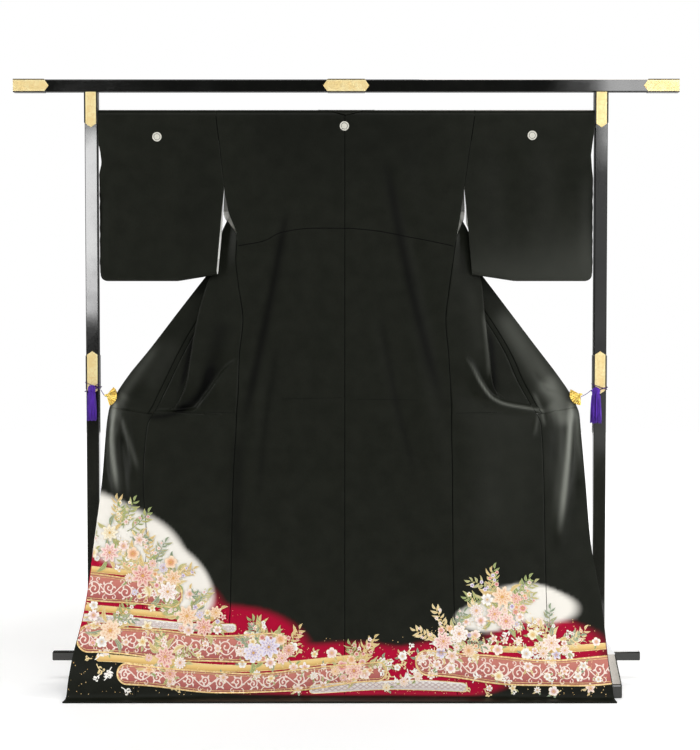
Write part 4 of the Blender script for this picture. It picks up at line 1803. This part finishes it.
def add_camera():
    data = bpy.data.cameras.new("photo_camera")
    data.sensor_width = 36
    data.lens = FOCAL_PIXELS * 36 / FRAME_HEIGHT
    camera = bpy.data.objects.new("photo_camera", data)
    camera.location = (CAMERA_X, POST_Y - CAMERA_DISTANCE, CAMERA_HEIGHT)
    camera.rotation_euler = (math.radians(90 - CAMERA_PITCH), 0, 0)
    bpy.context.scene.collection.objects.link(camera)
    bpy.context.scene.camera = camera


def area_light(name, place, aim, width, height, power, colour=(1, 1, 1)):
    data = bpy.data.lights.new(name, "AREA")
    data.shape = "RECTANGLE"
    data.size, data.size_y, data.energy, data.color = width, height, power, colour
    made = bpy.data.objects.new(name, data)
    made.location = place
    made.rotation_euler = (Vector(aim) - Vector(place)).to_track_quat("-Z", "Y").to_euler()
    bpy.context.scene.collection.objects.link(made)


# Each light's name, place, aim, width, height, power and, where it isn't white, its colour.
LIGHTS = [
    ("softbox_left", (-1.42, -5.0, 1.44), (-0.2, 0, 1.0), 0.34, 1.0, 15),
    ("softbox_right", (1.78, -5.0, 2.26), (0.2, 0, 1.0), 0.9, 1.0, 22),
    ("dim_wall_right", (1.45, -5.02, 0.95), (0.2, 0, 0.95), 0.50, 1.5, 2.2),
    ("kicker_right", (3.3, -4.2, 1.5), (0.3, 0, 0.9), 0.8, 1.8, 50),
    ("side_right", (3.2, -0.9, 1.6), (0.3, 0, 0.9), 1.0, 2.6, 75),
    ("side_left", (-3.2, -1.2, 1.5), (-0.3, 0, 0.9), 1.0, 2.6, 70),
    ("overhead", (0.0, -3.2, 4.8), (0, 0, 0.7), 3.4, 1.4, 95),
    ("behind", (0.3, 3.8, 3.0), (0, 0, 0.9), 3.0, 2.0, 50),
    ("over_right_foot", (0.80, 2.0, 3.45), (0.72, -0.13, 0.06), 1.0, 1.0, 23, (1.0, 0.93, 0.84)),
    ("low_card_right", (0.95, 3.0, 0.72), (0.72, 0.0, 0.09), 0.9, 0.6, 3.4),
]


def add_light():
    for light in LIGHTS:
        area_light(*light)
    world = bpy.data.worlds.new("studio")
    world.use_nodes = True
    nodes, links = world.node_tree.nodes, world.node_tree.links
    background = nodes["Background"]
    path = nodes.new("ShaderNodeLightPath")
    strength = nodes.new("ShaderNodeMapRange")
    strength.inputs["To Min"].default_value = 0.09
    strength.inputs["To Max"].default_value = 1.0
    links.new(path.outputs["Is Camera Ray"], strength.inputs["Value"])
    links.new(strength.outputs["Result"], background.inputs["Strength"])
    background.inputs["Color"].default_value = (1, 1, 1, 1)
    bpy.context.scene.world = world
    bpy.context.scene.view_settings.view_transform = "Standard"


def add_floor():
    mesh = bpy.data.meshes.new("floor")
    mesh.from_pydata([(-8, -1.35, 0), (8, -1.35, 0), (8, 9, 0), (-8, 9, 0)], [], [(0, 1, 2, 3)])
    floor = bpy.data.objects.new("floor", mesh)
    look = new_material("pale_floor", (0.93, 0.93, 0.93), 0.75)
    shader_of(look).inputs["Emission Color"].default_value = (1, 1, 1, 1)
    g = Graph(look)
    reach = g.node("ShaderNodeVectorMath", operation="LENGTH")
    g.join(g.place, reach.inputs[0])
    g.feed("Emission Strength", g.remap(reach.outputs["Value"], 1.3, 3.6, 0.21, 1.1))
    mesh.materials.append(look)
    bpy.context.scene.collection.objects.link(floor)


add_camera()
add_light()
add_floor()
